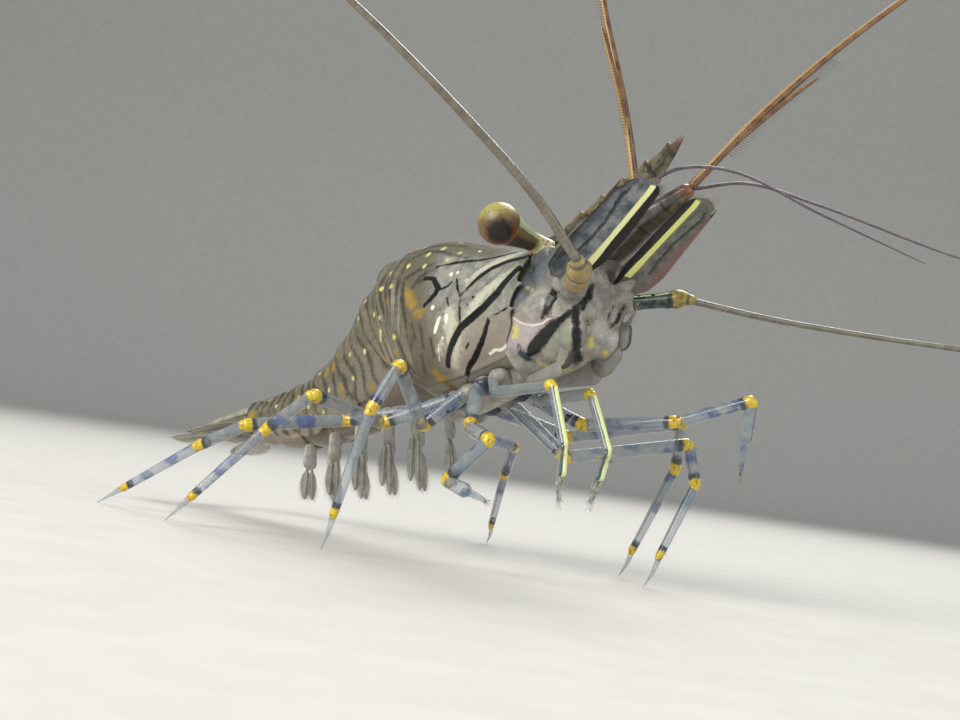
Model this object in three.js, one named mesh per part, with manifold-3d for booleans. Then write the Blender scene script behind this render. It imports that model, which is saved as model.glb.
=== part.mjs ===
// A rockpool prawn, life size, standing on its six walking legs. Millimetres, +Z up.
// The animal faces -Y, so its left side is +X. Most pieces are placed in the head frame: x forward,
// y to the animal's left, z up, with its origin between the orbits. The walking legs are placed in
// the floor frame, which has the same heading, no pitch, and z = 0 on the floor.
import * as THREE from 'three';
import { mergeVertices } from 'three/addons/utils/BufferGeometryUtils.js';
import Module from 'manifold-3d';

const wasm = await Module();
wasm.setup();

// ---------------------------------------------------------------- driving dimensions
const HEAD_PITCH = THREE.MathUtils.degToRad(22);
const HEAD_HEIGHT = 14;
const JOINT_GAP = 0.15;
const THINNEST = 0.25; // least radius of a limb or feeler
const SIDES = { left: 1, right: -1 };

const CARAPACE = {
  front: 0.4,
  rear: -8.8,
  topFront: 2.3,
  topRear: 5.8,
  lowerEdge: -3.1,
  sag: 0.45,
  halfFront: 1.9,
  halfRear: 3.05,
};
// Sections of the smaller trunk pieces: x, top, bottom, half width, height where widest
const HEAD_SECTIONS = [
  [0.55, 1.0, -2.9, 1.8, -0.8],
  [1.6, 0.75, -2.75, 1.75, -0.9],
  [2.7, 0.3, -2.1, 1.3, -0.9],
];
const THORAX_SECTIONS = [
  [-2.6, -3.0, -4.25, 0.75, -3.7],
  [-5.5, -3.0, -4.35, 0.95, -3.8],
  [-8.6, -3.0, -4.15, 0.85, -3.7],
];
const MOUTH_SECTIONS = [
  [1.5, -3.1, -3.9, 0.5, -3.5],
  [0.2, -3.2, -4.3, 0.85, -3.8],
  [-2.3, -3.2, -4.3, 0.8, -3.8],
];
const ROSTRUM = {
  start: -2.9,
  tip: 9.4,
  tipHeight: 3.76,
  rootHeight: 2.55,
  depth: 1.15,
  blade: 0.5,
  teethAbove: 8,
  teethBelow: 3,
  toothHeight: 0.32,
  rootLow: 1.6,
};
const EYE = { at: [0.95, 4.08, 2.08], radius: 1.03 };
const STALK = { root: [0.95, 1.2, 1.46], rootRadius: 0.5, neck: 0.4, cup: 0.8 };
const SCALE = {
  root: [2.51, 1.3, -0.9],
  along: [0.935, 0.032, 0.355],
  across: [-0.1, 0.975, 0.16],
  length: 6.7,
  inner: 0.8,
  outer: 2.15,
  tooth: 1.7,
  thickness: 0.5,
};
// Each abdomen segment: length along its back, slope backward in degrees, depth at its rear
const SEGMENTS = [
  { length: 1.9, slope: 2, depth: 8.3 },
  { length: 2.7, slope: -24, depth: 7.6 },
  { length: 3.5, slope: -28, depth: 6.0 },
  { length: 2.6, slope: -17, depth: 4.9 },
  { length: 2.3, slope: -6, depth: 4.0 },
  { length: 4.4, slope: 3, depth: 2.5 },
];
const FAN = {
  rootX: 0.15,
  rootY: 0.62,
  endopod: { length: 4.5, half: 0.85, turn: -0.2, drop: 1.18 },
  exopod: { length: 4.9, half: 1.05, turn: -0.46, drop: 1.83 },
};
const TELSON = { length: 4.9, slope: 4, depth: 0.9, halfWidth: 0.85, halfTip: 0.35 };
const SWIMMERET = {
  pairs: 5,
  front: -10.2,
  back: -19.4,
  height: -2.2,
  longest: 4.9,
  shortest: 3.4,
  spreadFront: 1.0,
  spreadBack: 0.75,
  tailSwing: 0.9,
  radii: [0.42, 0.45, 0.68, 0.4],
};
const TAIL_SWING = THREE.MathUtils.degToRad(3); // sideways turn of each segment after the third

// Hips in the head frame, then joints in the floor frame: [x, y, z] with y outward
const HIP = { y: 1.45, z: -3.75, radius: 0.4 };
const HIP_X = { 1: -3.5, 2: -4.65, 3: -5.8, 4: -6.95, 5: -8.1 };
const LEG_RADII = { ischium: 0.46, knee: 0.48, wrist: 0.4, ankle: 0.3 };
const WALKING_LEGS = {
  left: {
    3: { ischium: [-0.9, 3.05, 5.95], knee: [2.2, 8.5, 7.5], wrist: [2.4, 9.2, 5.5], foot: [1.2, 7.7, 0] },
    4: { ischium: [-2.1, 4.1, 7.0], knee: [0.9, 9.2, 8.6], wrist: [0.2, 9.9, 6.2], foot: [-3.2, 10.2, 0] },
    5: { ischium: [-9.6, 4, 6.6], knee: [-12.1, 9.1, 6.2], wrist: [-14.3, 10.5, 4.5], foot: [-18.3, 13.2, 0] },
  },
  right: {
    3: { ischium: [-4.9, 3.1, 6.4], knee: [-2.0, 7.1, 9.0], wrist: [-2.1, 8.2, 6.7], foot: [-3.1, 9.1, 0] },
    4: { ischium: [-7.2, 3.9, 6.3], knee: [-6.3, 8.8, 7.1], wrist: [-8.3, 9.9, 5.1], foot: [-11.4, 12.9, 0] },
    5: { ischium: [-10.2, 4.1, 6.2], knee: [-12.3, 8.8, 5.2], wrist: [-14.6, 10, 3.8], foot: [-19.3, 12.9, 0] },
  },
};
const FOOT = { radius: 0.27, toeLength: 1.7 };

// ---------------------------------------------------------------- small helpers
const v3 = (p) => new THREE.Vector3(...p);
const mirrored = (p, side) => [p[0], p[1] * side, p[2]];
const lerp = THREE.MathUtils.lerp;
const smooth = (t) => THREE.MathUtils.smoothstep(t, 0, 1);

function headToFloor([x, y, z]) {
  const c = Math.cos(HEAD_PITCH);
  const s = Math.sin(HEAD_PITCH);
  return [x * c - z * s, y, x * s + z * c + HEAD_HEIGHT];
}

// Closed solid through rings of equal point count; each end is closed by a fan about its middle
function loft(rings) {
  const count = rings[0].length;
  const points = rings.flat();
  const index = [];
  for (let r = 0; r < rings.length - 1; r += 1) {
    for (let i = 0; i < count; i += 1) {
      const a = r * count + i;
      const b = r * count + ((i + 1) % count);
      index.push(a, b, a + count, b, b + count, a + count);
    }
  }
  const ends = [
    { ring: rings[0], start: 0, flip: true },
    { ring: rings.at(-1), start: (rings.length - 1) * count, flip: false },
  ];
  for (const { ring, start, flip } of ends) {
    const middle = ring.reduce((sum, p) => sum.add(p), new THREE.Vector3()).divideScalar(count);
    points.push(middle);
    for (let i = 0; i < count; i += 1) {
      const a = start + i;
      const b = start + ((i + 1) % count);
      index.push(points.length - 1, flip ? b : a, flip ? a : b);
    }
  }
  const geometry = new THREE.BufferGeometry().setFromPoints(points);
  geometry.setIndex(index);
  return outward(geometry);
}

// Turns every face over if the solid's signed volume is negative
function outward(geometry) {
  const p = geometry.attributes.position;
  const index = geometry.index.array;
  const corner = (i) => new THREE.Vector3().fromBufferAttribute(p, index[i]);
  let volume = 0;
  for (let i = 0; i < index.length; i += 3) {
    volume += corner(i).dot(corner(i + 1).cross(corner(i + 2)));
  }
  if (volume < 0) {
    for (let i = 0; i < index.length; i += 3) {
      [index[i + 1], index[i + 2]] = [index[i + 2], index[i + 1]];
    }
  }
  return geometry;
}

// Limb along points with one radius per point. flat squeezes the section along the wide direction's normal
function limb(points, radii, { sides = 6, flat = 1, wide = [0, 0, 1], soleDown = false } = {}) {
  const path = points.map(v3);
  const rings = path.map((p, i) => {
    const before = path[Math.max(i - 1, 0)];
    const after = path[Math.min(i + 1, path.length - 1)];
    const back = p.clone().sub(before).normalize();
    const ahead = after.clone().sub(p).normalize();
    const tangent = back.add(ahead).normalize();
    if (soleDown && i === path.length - 1) tangent.set(0, 0, -1);
    const across = new THREE.Vector3().crossVectors(v3(wide), tangent).normalize();
    const up = new THREE.Vector3().crossVectors(tangent, across);
    return Array.from({ length: sides }, (_, k) => {
      const turn = (2 * Math.PI * k) / sides;
      return p.clone()
        .addScaledVector(across, radii[i] * flat * Math.cos(turn))
        .addScaledVector(up, radii[i] * Math.sin(turn));
    });
  });
  return loft(rings);
}

// Points of a smooth curve through a few places, with a step of about the given length
function curvePoints(places, steps) {
  return new THREE.CatmullRomCurve3(places.map(v3), false, 'centripetal')
    .getSpacedPoints(steps)
    .map((p) => p.toArray());
}

function feeler(places, steps, rootRadius) {
  const points = curvePoints(places, steps);
  const radii = points.map((_, i) => Math.max(THINNEST, rootRadius * (1 - (3 * i) / steps)));
  return limb(points, radii, { sides: 6, wide: [0.3, 0.2, 0.93] });
}

// Flat outline in x and y, thickness along z, centred on z = 0
function plate(outline, thickness) {
  const shape = new THREE.Shape(outline.map(([x, y]) => new THREE.Vector2(x, y)));
  const geometry = new THREE.ExtrudeGeometry(shape, { depth: thickness, bevelEnabled: false });
  geometry.translate(0, 0, -thickness / 2);
  return geometry;
}

function toManifold(geometry) {
  const bare = geometry.clone();
  bare.deleteAttribute('normal');
  bare.deleteAttribute('uv');
  const merged = mergeVertices(bare, 1e-4);
  return new wasm.Manifold(new wasm.Mesh({
    numProp: 3,
    vertProperties: new Float32Array(merged.attributes.position.array),
    triVerts: new Uint32Array(merged.index.array),
  }));
}

function toGeometry(solid) {
  const mesh = solid.getMesh();
  const geometry = new THREE.BufferGeometry();
  geometry.setAttribute('position', new THREE.BufferAttribute(mesh.vertProperties, 3));
  geometry.setIndex(new THREE.BufferAttribute(mesh.triVerts, 1));
  return geometry;
}

// What is left of a piece outside its neighbours: its largest remaining body
function clearOf(geometry, ...neighbours) {
  let solid = toManifold(geometry);
  for (const neighbour of neighbours) {
    solid = solid.subtract(toManifold(neighbour));
  }
  const bodies = solid.decompose().sort((a, b) => b.volume() - a.volume());
  return toGeometry(bodies[0]);
}

const shells = {
  carapace: new THREE.MeshStandardMaterial({ color: 0x9c9a88, roughness: 0.35, metalness: 0 }),
  glassy: new THREE.MeshStandardMaterial({ color: 0xaab2b0, roughness: 0.3, metalness: 0 }),
  leg: new THREE.MeshStandardMaterial({ color: 0x8fa3b3, roughness: 0.35, metalness: 0 }),
  feeler: new THREE.MeshStandardMaterial({ color: 0x8a6a45, roughness: 0.5, metalness: 0 }),
  eye: new THREE.MeshStandardMaterial({ color: 0x6b5a2c, roughness: 0.15, metalness: 0 }),
};

const headFrame = new THREE.Group();
const floorFrame = new THREE.Group();

function add(group, name, geometry, material) {
  const mesh = new THREE.Mesh(geometry, material);
  mesh.name = name;
  group.add(mesh);
}

// ---------------------------------------------------------------- carapace, head and thorax
// Egg-shaped section at x: top and bottom heights, half width, and how high it is widest
function bodyRing(x, top, bottom, half, widest, count = 16) {
  return Array.from({ length: count }, (_, k) => {
    const turn = (2 * Math.PI * k) / count;
    const rise = Math.cos(turn);
    const squared = Math.sign(Math.sin(turn)) * Math.abs(Math.sin(turn)) ** 0.85;
    const z = rise > 0 ? lerp(widest, top, rise) : lerp(widest, bottom, -rise);
    return new THREE.Vector3(x, half * squared, z);
  });
}

function carapaceSolid(grow = 0) {
  const steps = 8;
  const rings = [];
  for (let i = 0; i <= steps; i += 1) {
    const t = i / steps;
    const x = lerp(CARAPACE.front + grow, CARAPACE.rear - grow, t);
    const top = lerp(CARAPACE.topFront, CARAPACE.topRear, smooth(t)) + grow;
    const bottom = CARAPACE.lowerEdge - CARAPACE.sag * Math.sin(Math.PI * t) - grow;
    const half = lerp(CARAPACE.halfFront, CARAPACE.halfRear, 1 - (1 - t) ** 3) + grow;
    rings.push(bodyRing(x, top, bottom, half, lerp(bottom, top, 0.42)));
  }
  return loft(rings);
}

// Solid through a table of sections, each side and both ends moved out by grow
function trunkSolid(sections, grow = 0, count = 10) {
  const last = sections.length - 1;
  const forward = Math.sign(sections[0][0] - sections[last][0]);
  return loft(sections.map(([x, top, bottom, half, widest], i) => {
    const reach = i === 0 ? grow * forward : i === last ? -grow * forward : 0;
    return bodyRing(x + reach, top + grow, bottom - grow, half + grow, widest, count);
  }));
}

const carapace = carapaceSolid();
const carapaceRoom = carapaceSolid(JOINT_GAP);
const headRoom = trunkSolid(HEAD_SECTIONS, JOINT_GAP, 12);
const thoraxRoom = trunkSolid(THORAX_SECTIONS, JOINT_GAP);
const mouthRoom = trunkSolid(MOUTH_SECTIONS, JOINT_GAP);

add(headFrame, 'carapace', carapace, shells.carapace);
const head = clearOf(trunkSolid(HEAD_SECTIONS, 0, 12), carapaceRoom);
const thorax = clearOf(trunkSolid(THORAX_SECTIONS), carapaceRoom);
const mouth = clearOf(trunkSolid(MOUTH_SECTIONS), carapaceRoom, headRoom, thoraxRoom);
add(headFrame, 'head', head, shells.glassy);
add(headFrame, 'thorax_underside', thorax, shells.glassy);
add(headFrame, 'mouthparts', mouth, shells.glassy);

// Blade with forward-leaning teeth above and below, running out to a fine tip
function rostrumSolid() {
  const { start, tip, tipHeight, rootHeight, depth, teethAbove, teethBelow, toothHeight, rootLow } = ROSTRUM;
  const taper = 1.6;
  const upper = (x) => lerp(rootHeight, tipHeight, x / tip);
  const lower = (x) => upper(x) - depth * Math.min(1, ((tip - x) / taper) ** 0.7);
  const toothLength = 1.0;
  const outline = [];
  for (let i = 0; i < teethAbove; i += 1) {
    const x = lerp(start, tip - 1.8 * toothLength, i / (teethAbove - 1));
    const peak = x + 0.95 * toothLength;
    outline.push([x, upper(x)], [peak, upper(peak) + toothHeight], [x + toothLength, upper(x + toothLength)]);
  }
  outline.push([tip, tipHeight]);
  for (let i = 0; i < teethBelow; i += 1) {
    const x = tip - 1.7 - 1.5 * i;
    const heel = x - 0.85 * toothLength;
    outline.push([x, lower(x)], [x - 0.1, lower(x) - 0.8 * toothHeight], [heel, lower(heel)]);
  }
  outline.push([1.5, lower(1.5)], [0.5, rootLow], [start, rootLow]);
  const blade = plate(outline, ROSTRUM.blade);
  blade.rotateX(Math.PI / 2);
  return clearOf(blade, carapaceSolid(0.1), headRoom);
}

add(headFrame, 'rostrum', rostrumSolid(), shells.carapace);

// ---------------------------------------------------------------- eyes
function eyeSolid(side, grow = 0) {
  const eye = new THREE.IcosahedronGeometry(EYE.radius + grow, 3);
  eye.translate(...mirrored(EYE.at, side));
  return eye;
}

function stalkSolid(side) {
  const root = v3(mirrored(STALK.root, side));
  const centre = v3(mirrored(EYE.at, side));
  const at = (t) => root.clone().lerp(centre, t).toArray();
  const points = [at(0), at(0.3), at(0.55), at(0.72), at(0.86)];
  const radii = [STALK.rootRadius, STALK.neck, 0.55, STALK.cup, STALK.cup];
  return clearOf(limb(points, radii, { sides: 10 }), eyeSolid(side, 0.1), carapaceRoom, headRoom);
}

// ---------------------------------------------------------------- antennules and antennae
function antennulePeduncle(side) {
  const places = [
    [2.2, 0.95, 1.15], [3.4, 1.05, 1.3], [4.9, 1.25, 1.55], [5.1, 1.28, 1.6],
    [6.3, 1.5, 1.82], [6.5, 1.53, 1.86], [7.65, 1.73, 2.1],
  ];
  const radii = [0.62, 0.66, 0.6, 0.5, 0.5, 0.42, 0.4];
  const tube = limb(places.map((p) => mirrored(p, side)), radii, { sides: 8, flat: 1.15 });
  return clearOf(tube, headRoom, carapaceRoom);
}

// Routes of the feelers in the head frame, y outward
const ANTENNULE = {
  left: {
    outer: [[7.95, 1.9, 2.55], [10.6, 4.25, 5.35], [13.9, 7.65, 8.75], [17.6, 11.7, 12.1], [21.8, 17.2, 16]],
    ramus: [[10.1, 4.3, 4.35], [11.2, 5.35, 5.45], [12.2, 6.35, 6.4]],
    inner: [[8.4, 1.95, 2.1], [9.5, 3.8, 2.2], [10.6, 7.6, 1.5], [12.4, 14.8, -0.2], [12.9, 19.5, -0.4]],
  },
  right: {
    outer: [[7.75, 1.8, 2.6], [8.2, 2.4, 5.4], [8.55, 3.3, 8.6], [8.9, 4.0, 12.6], [7.4, 5.6, 22.5]],
    ramus: [[7.7, 3.05, 6.2], [7.95, 3.45, 7.4], [8.15, 3.85, 8.6]],
    inner: [[8.05, 1.3, 1.95], [9.1, 0.2, 2.35], [10.1, -2.2, 2.1], [11.0, -6.9, 0.7], [11.9, -13.5, -0.8]],
  },
};

function antennuleFeelers(name) {
  const side = SIDES[name];
  const routes = ANTENNULE[name];
  const place = (list) => list.map((p) => mirrored(p, side));
  const outer = feeler(place(routes.outer), 14, 0.29);
  const ramus = feeler(place(routes.ramus), 4, THINNEST);
  const inner = feeler(place(routes.inner), 12, THINNEST);
  add(headFrame, `antennule_outer_flagellum_${name}`, outer, shells.feeler);
  add(headFrame, `antennule_short_ramus_${name}`, ramus, shells.feeler);
  add(headFrame, `antennule_inner_flagellum_${name}`, inner, shells.feeler);
}

function antennaPeduncle(side, grow = 0) {
  const root = [2.6 - 2 * grow, 1.6 - 2 * grow, -1.5];
  const places = [root, [3.1, 2.0, -1.65], [3.9, 2.5, -1.82], [4.1, 2.62, -1.86], [5.15, 3.28, -2.0]];
  const radii = [0.75, 0.7, 0.55, 0.42, 0.38].map((r) => r + grow);
  const tube = limb(places.map((p) => mirrored(p, side)), radii, { sides: 8 });
  return clearOf(tube, headRoom, carapaceRoom);
}

const ANTENNA = {
  left: [
    [5.45, 3.55, -2.2], [6.6, 7.4, -2.8], [8.3, 12.3, -3.4], [10.35, 17.8, -4],
    [11.9, 25, -4.2], [11.2, 34, -2.8], [7.5, 43, 0.4], [1.5, 50, 4.6],
  ],
  right: [
    [5.3, 3.65, -1.65], [5.24, 4.5, -0.4], [5.2, 5.5, 0.95], [4.85, 7.85, 3.5],
    [3.6, 13.8, 9.4], [0.6, 21, 16.6], [-4.4, 27.4, 24.2], [-11.5, 32.5, 31.6], [-19.5, 36, 37.6],
  ],
};

// Blade with a straight outer edge ending in a tooth and a rounded tip, seen flat as x along, y outward
function antennaScale(side) {
  const { length, inner, outer, tooth } = SCALE;
  const toothAt = length * 0.91;
  const notch = [toothAt - 0.25, tooth - 0.3];
  const outline = [[0, outer * 0.65], [length * 0.25, outer], [toothAt, tooth], notch];
  const tipSteps = 6;
  for (let i = 1; i <= tipSteps; i += 1) {
    const turn = (Math.PI * i) / tipSteps;
    const reach = i < tipSteps ? Math.sin(turn) : 0;
    outline.push([toothAt - 0.25 + 0.85 * reach, lerp(-inner * 0.8, tooth - 0.35, (1 + Math.cos(turn)) / 2)]);
  }
  outline.push([length * 0.6, -inner], [length * 0.25, -inner], [0, -0.2]);
  const blade = plate(outline, SCALE.thickness);
  const along = v3(SCALE.along).normalize();
  const across = v3(SCALE.across).addScaledVector(along, -v3(SCALE.across).dot(along)).normalize();
  const normal = new THREE.Vector3().crossVectors(along, across);
  blade.applyMatrix4(new THREE.Matrix4().makeBasis(along, across, normal).setPosition(v3(SCALE.root)));
  if (side < 0) {
    blade.applyMatrix4(new THREE.Matrix4().makeScale(1, -1, 1));
    return turnedOver(blade);
  }
  return blade;
}

// Reverses the faces of a mirrored solid so that they point outward again
function turnedOver(geometry) {
  const bare = new THREE.BufferGeometry().setAttribute('position', geometry.attributes.position);
  return outward(mergeVertices(bare, 1e-4));
}

for (const [name, side] of Object.entries(SIDES)) {
  add(headFrame, `eyestalk_${name}`, stalkSolid(side), shells.glassy);
  add(headFrame, `eye_${name}`, eyeSolid(side), shells.eye);
  const scale = antennaScale(side);
  const peduncleRoom = antennaPeduncle(side, JOINT_GAP);
  add(headFrame, `antennule_peduncle_${name}`, clearOf(antennulePeduncle(side), scale), shells.glassy);
  antennuleFeelers(name);
  add(headFrame, `antenna_scale_${name}`, clearOf(scale, headRoom, peduncleRoom), shells.glassy);
  add(headFrame, `antenna_peduncle_${name}`, antennaPeduncle(side), shells.glassy);
  const route = ANTENNA[name].map((p) => mirrored(p, side));
  add(headFrame, `antenna_flagellum_${name}`, feeler(route, 26, 0.36), shells.feeler);
}

// ---------------------------------------------------------------- mouth legs and chelipeds
function maxilliped(side) {
  const places = [
    [-2.1, 0.62, -4.35], [-0.6, 0.68, -4.55], [1.15, 1.55, -4.75], [1.75, 1.95, -3.6],
    [2.2, 1.7, -2.9], [3.4, 1.0, -2.7], [4.6, 0.7, -2.4],
  ];
  const radii = [0.36, 0.38, 0.48, 0.46, 0.4, 0.32, 0.26];
  const tube = limb(places.map((p) => mirrored(p, side)), radii, { sides: 6 });
  return clearOf(tube, headRoom, carapaceRoom, thoraxRoom, mouthRoom);
}

const CHELIPEDS = {
  1: {
    left: [[-3.3, 1.5, -4.5], [0.2, 1.35, -5.4], [0.6, 1.5, -8.4], [0.0, 1.45, -10.9]],
    right: [[-3.2, 1.7, -4.6], [0.35, 1.3, -5.4], [0.75, 1.45, -8.5], [-0.1, 1.42, -11.0]],
    radii: [0.4, 0.38, 0.36, 0.34, 0.32, 0.34, 0.26],
  },
  2: {
    left: [[-2.6, 3.4, -5.8], [1.2, 6.0, -6.5], [4.45, 8.0, -6.2], [2.0, 9.1, -9.2]],
    right: [[-4.7, 2.3, -6.0], [-2.1, 3.4, -7.6], [-4.7, 4.1, -8.9], [-2.2, 3.9, -10.6]],
    radii: [0.4, 0.42, 0.4, 0.38, 0.36, 0.44, 0.26],
  },
};

// Hip, ischium joint, knee, wrist, then the palm and the closed fingers
function cheliped(number, name) {
  const side = SIDES[name];
  const [ischium, knee, wrist, tip] = CHELIPEDS[number][name];
  const palm = v3(wrist).lerp(v3(tip), 0.5).toArray();
  const elbow = v3(wrist).lerp(v3(tip), 0.12).toArray();
  const places = [[HIP_X[number], HIP.y, HIP.z], ischium, knee, wrist, elbow, palm, tip];
  const tube = limb(places.map((p) => mirrored(p, side)), CHELIPEDS[number].radii, { wide: [0.1, 1, 0.1] });
  return clearOf(tube, carapaceRoom, thoraxRoom);
}

for (const [name, side] of Object.entries(SIDES)) {
  add(headFrame, `maxilliped_${name}`, maxilliped(side), shells.glassy);
  add(headFrame, `cheliped_1_${name}`, cheliped(1, name), shells.leg);
  add(headFrame, `cheliped_2_${name}`, cheliped(2, name), shells.leg);
}

// ---------------------------------------------------------------- walking legs
// Hip, ischium joint, knee, wrist, ankle above the toe, and a flat sole on the floor
function walkingLeg(number, name) {
  const side = SIDES[name];
  const { ischium, knee, wrist, foot } = WALKING_LEGS[name][number];
  const hip = headToFloor([HIP_X[number], HIP.y, HIP.z]);
  const shin = v3(foot).sub(v3(wrist));
  const ankle = v3(foot).addScaledVector(shin.normalize(), -FOOT.toeLength).toArray();
  const places = [hip, ischium, knee, wrist, ankle, foot].map((p) => mirrored(p, side));
  const { ischium: thigh, knee: bend, wrist: shinTop, ankle: shinEnd } = LEG_RADII;
  const radii = [HIP.radius, thigh, bend, shinTop, shinEnd, FOOT.radius];
  const tube = limb(places, radii, { wide: [1, 0.1 * side, 0.2], soleDown: true });
  tube.applyMatrix4(floorToHeadMatrix());
  const cut = clearOf(tube, carapaceRoom, thoraxRoom);
  return cut.applyMatrix4(floorToHeadMatrix().invert());
}

function floorToHeadMatrix() {
  const matrix = new THREE.Matrix4().makeRotationY(-HEAD_PITCH);
  matrix.setPosition(0, 0, HEAD_HEIGHT);
  return matrix.invert();
}

for (const name of Object.keys(SIDES)) {
  for (const number of [3, 4, 5]) {
    add(floorFrame, `walking_leg_${number}_${name}`, walkingLeg(number, name), shells.leg);
  }
}

// ---------------------------------------------------------------- abdomen and tail
// Places and directions of the planes between segments, from the carapace to the telson's tip
function backLine() {
  const pieces = [...SEGMENTS, TELSON];
  const places = [new THREE.Vector3(CARAPACE.rear - JOINT_GAP, 0, CARAPACE.topRear + 0.02)];
  const headings = pieces.map(({ slope }, i) => {
    const pitch = THREE.MathUtils.degToRad(slope);
    const swing = TAIL_SWING * Math.max(0, i - 2);
    return new THREE.Vector3(-Math.cos(pitch) * Math.cos(swing), -Math.sin(swing), Math.sin(pitch));
  });
  pieces.forEach(({ length }, i) => {
    places.push(places[i].clone().addScaledVector(headings[i], length));
  });
  const directions = places.map((_, i) => {
    const before = headings[Math.max(i - 1, 0)];
    const after = headings[Math.min(i, headings.length - 1)];
    return before.clone().add(after).normalize();
  });
  directions[0] = new THREE.Vector3(-1, 0, 0);
  return { places, directions, headings };
}

const BACK = backLine();

// Section of the abdomen hung from its mid-back point, across the given direction
function abdomenRing(back, direction, depth, half, count = 12) {
  const across = new THREE.Vector3(0, 0, 1).cross(direction).normalize();
  const down = new THREE.Vector3().crossVectors(across, direction).normalize();
  if (down.z > 0) down.negate();
  return Array.from({ length: count }, (_, k) => {
    const turn = (2 * Math.PI * k) / count;
    const fall = (depth / 2) * (1 - Math.cos(turn));
    const squared = Math.sign(Math.sin(turn)) * Math.abs(Math.sin(turn)) ** 0.85;
    return back.clone().addScaledVector(down, fall).addScaledVector(across, half * squared);
  });
}

function halfWidth(depth) {
  return 0.38 * depth;
}

function abdomenSegment(number, grow = 0) {
  const i = number - 1;
  const startDepth = i === 0 ? CARAPACE.topRear - CARAPACE.lowerEdge - 0.3 : SEGMENTS[i - 1].depth;
  const endDepth = SEGMENTS[i].depth;
  const steps = 3;
  const rings = [];
  for (let k = 0; k <= steps; k += 1) {
    const t = k / steps;
    const margin = (JOINT_GAP / 2 - grow) * (k === 0 ? 1 : k === steps ? -1 : 0);
    const back = BACK.places[i].clone().lerp(BACK.places[i + 1], t).addScaledVector(BACK.headings[i], margin);
    const direction = BACK.directions[i].clone().lerp(BACK.directions[i + 1], t).normalize();
    const lobe = 0.35 * Math.sin(Math.PI * t) * (number < 6 ? 1 : 0);
    const depth = lerp(startDepth, endDepth, t) + lobe;
    back.z += grow;
    rings.push(abdomenRing(back, direction, depth + 2 * grow, halfWidth(depth - lobe) + grow));
  }
  return loft(rings);
}

SEGMENTS.forEach((_, i) => {
  add(headFrame, `abdomen_${i + 1}`, abdomenSegment(i + 1), shells.carapace);
});

// Frame at the rear of the sixth segment: x backward along the tail, y to the animal's right, z up
function tailFrame() {
  const heading = BACK.headings.at(-1);
  const across = new THREE.Vector3(0, 0, 1).cross(heading).normalize();
  const up = new THREE.Vector3().crossVectors(heading, across);
  return new THREE.Matrix4().makeBasis(heading, across, up).setPosition(BACK.places[SEGMENTS.length]);
}

// Blade of the tail fan: length, greatest half width, turn outward, and depth below the back
function fanBlade({ length, half, turn, drop }, side) {
  const outline = [];
  const steps = 12;
  for (let i = 0; i < steps; i += 1) {
    const a = (2 * Math.PI * i) / steps;
    const t = (1 - Math.cos(a)) / 2;
    const narrow = 0.35 + 0.65 * smooth(Math.min(1, 1.5 * t));
    outline.push([length * t, half * narrow * Math.sin(a)]);
  }
  const blade = plate(outline, 2 * THINNEST);
  blade.rotateZ(turn * side);
  blade.translate(FAN.rootX, -FAN.rootY * side, -drop);
  return blade.applyMatrix4(tailFrame());
}

function telsonSolid() {
  const rings = [0, 0.35, 0.8, 1].map((t) => {
    const back = BACK.places[SEGMENTS.length].clone()
      .addScaledVector(BACK.headings.at(-1), lerp(JOINT_GAP, TELSON.length, t));
    const half = lerp(TELSON.halfWidth, TELSON.halfTip, t);
    return abdomenRing(back, BACK.headings.at(-1), lerp(TELSON.depth, 0.55, t), half, 8);
  });
  return loft(rings);
}

add(headFrame, 'telson', telsonSolid(), shells.glassy);
for (const [name, side] of Object.entries(SIDES)) {
  add(headFrame, `uropod_endopod_${name}`, fanBlade(FAN.endopod, side), shells.glassy);
  add(headFrame, `uropod_exopod_${name}`, fanBlade(FAN.exopod, side), shells.glassy);
}

// ---------------------------------------------------------------- swimmerets
// Paddle hung under a segment, broad face forward, leaning back
const abdomenRooms = SEGMENTS.map((_, i) => abdomenSegment(i + 1, JOINT_GAP));

function swimmeret(number, side) {
  const t = (number - 1) / (SWIMMERET.pairs - 1);
  const x = lerp(SWIMMERET.front, SWIMMERET.back, t);
  const swing = lerp(0, SWIMMERET.tailSwing, t);
  const y = lerp(SWIMMERET.spreadFront, SWIMMERET.spreadBack, t) * side - swing;
  const root = new THREE.Vector3(x, y, SWIMMERET.height);
  const length = lerp(SWIMMERET.longest, SWIMMERET.shortest, t);
  const lean = new THREE.Vector3(-0.1, 0.06 * side, -1).normalize();
  const places = [0, 0.3, 0.6, 1].map((part) => root.clone().addScaledVector(lean, length * part).toArray());
  const paddle = limb(places, SWIMMERET.radii, { sides: 8, flat: 0.45, wide: [0, 1, 0] });
  return clearOf(paddle, ...abdomenRooms);
}

for (const [name, side] of Object.entries(SIDES)) {
  for (let number = 1; number <= SWIMMERET.pairs; number += 1) {
    add(headFrame, `swimmeret_${number}_${name}`, swimmeret(number, side), shells.glassy);
  }
}

// ---------------------------------------------------------------- assembly
headFrame.rotation.y = -HEAD_PITCH;
headFrame.position.z = HEAD_HEIGHT;
const group = new THREE.Group();
group.add(headFrame, floorFrame);
group.rotation.z = -Math.PI / 2;
group.updateMatrixWorld(true);
const extent = new THREE.Box3().setFromObject(group, true);
const middle = extent.getCenter(new THREE.Vector3());
group.position.set(-middle.x, -middle.y, 0);

export default group;
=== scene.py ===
"""Dresses the solid frame of a life-size rockpool prawn: shell plates, eyes, feelers, legs and bristles.

Shapes are worked out in the head frame, in millimetres: x forward, y to the animal's left, z up, with
the origin between the orbits. The walking legs are given in the floor frame, level and with z = 0 on
the floor. Both are turned into the row frame, in metres, where the animal faces -Y. Turns round the
carapace and the abdomen start at the back and reach 180 degrees at the belly.

A mark is a number at each point of a mesh that a finish reads. Most marks are distances in millimetres
to the edge of a painted form, below zero inside it.
"""
import functools
import math

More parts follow.
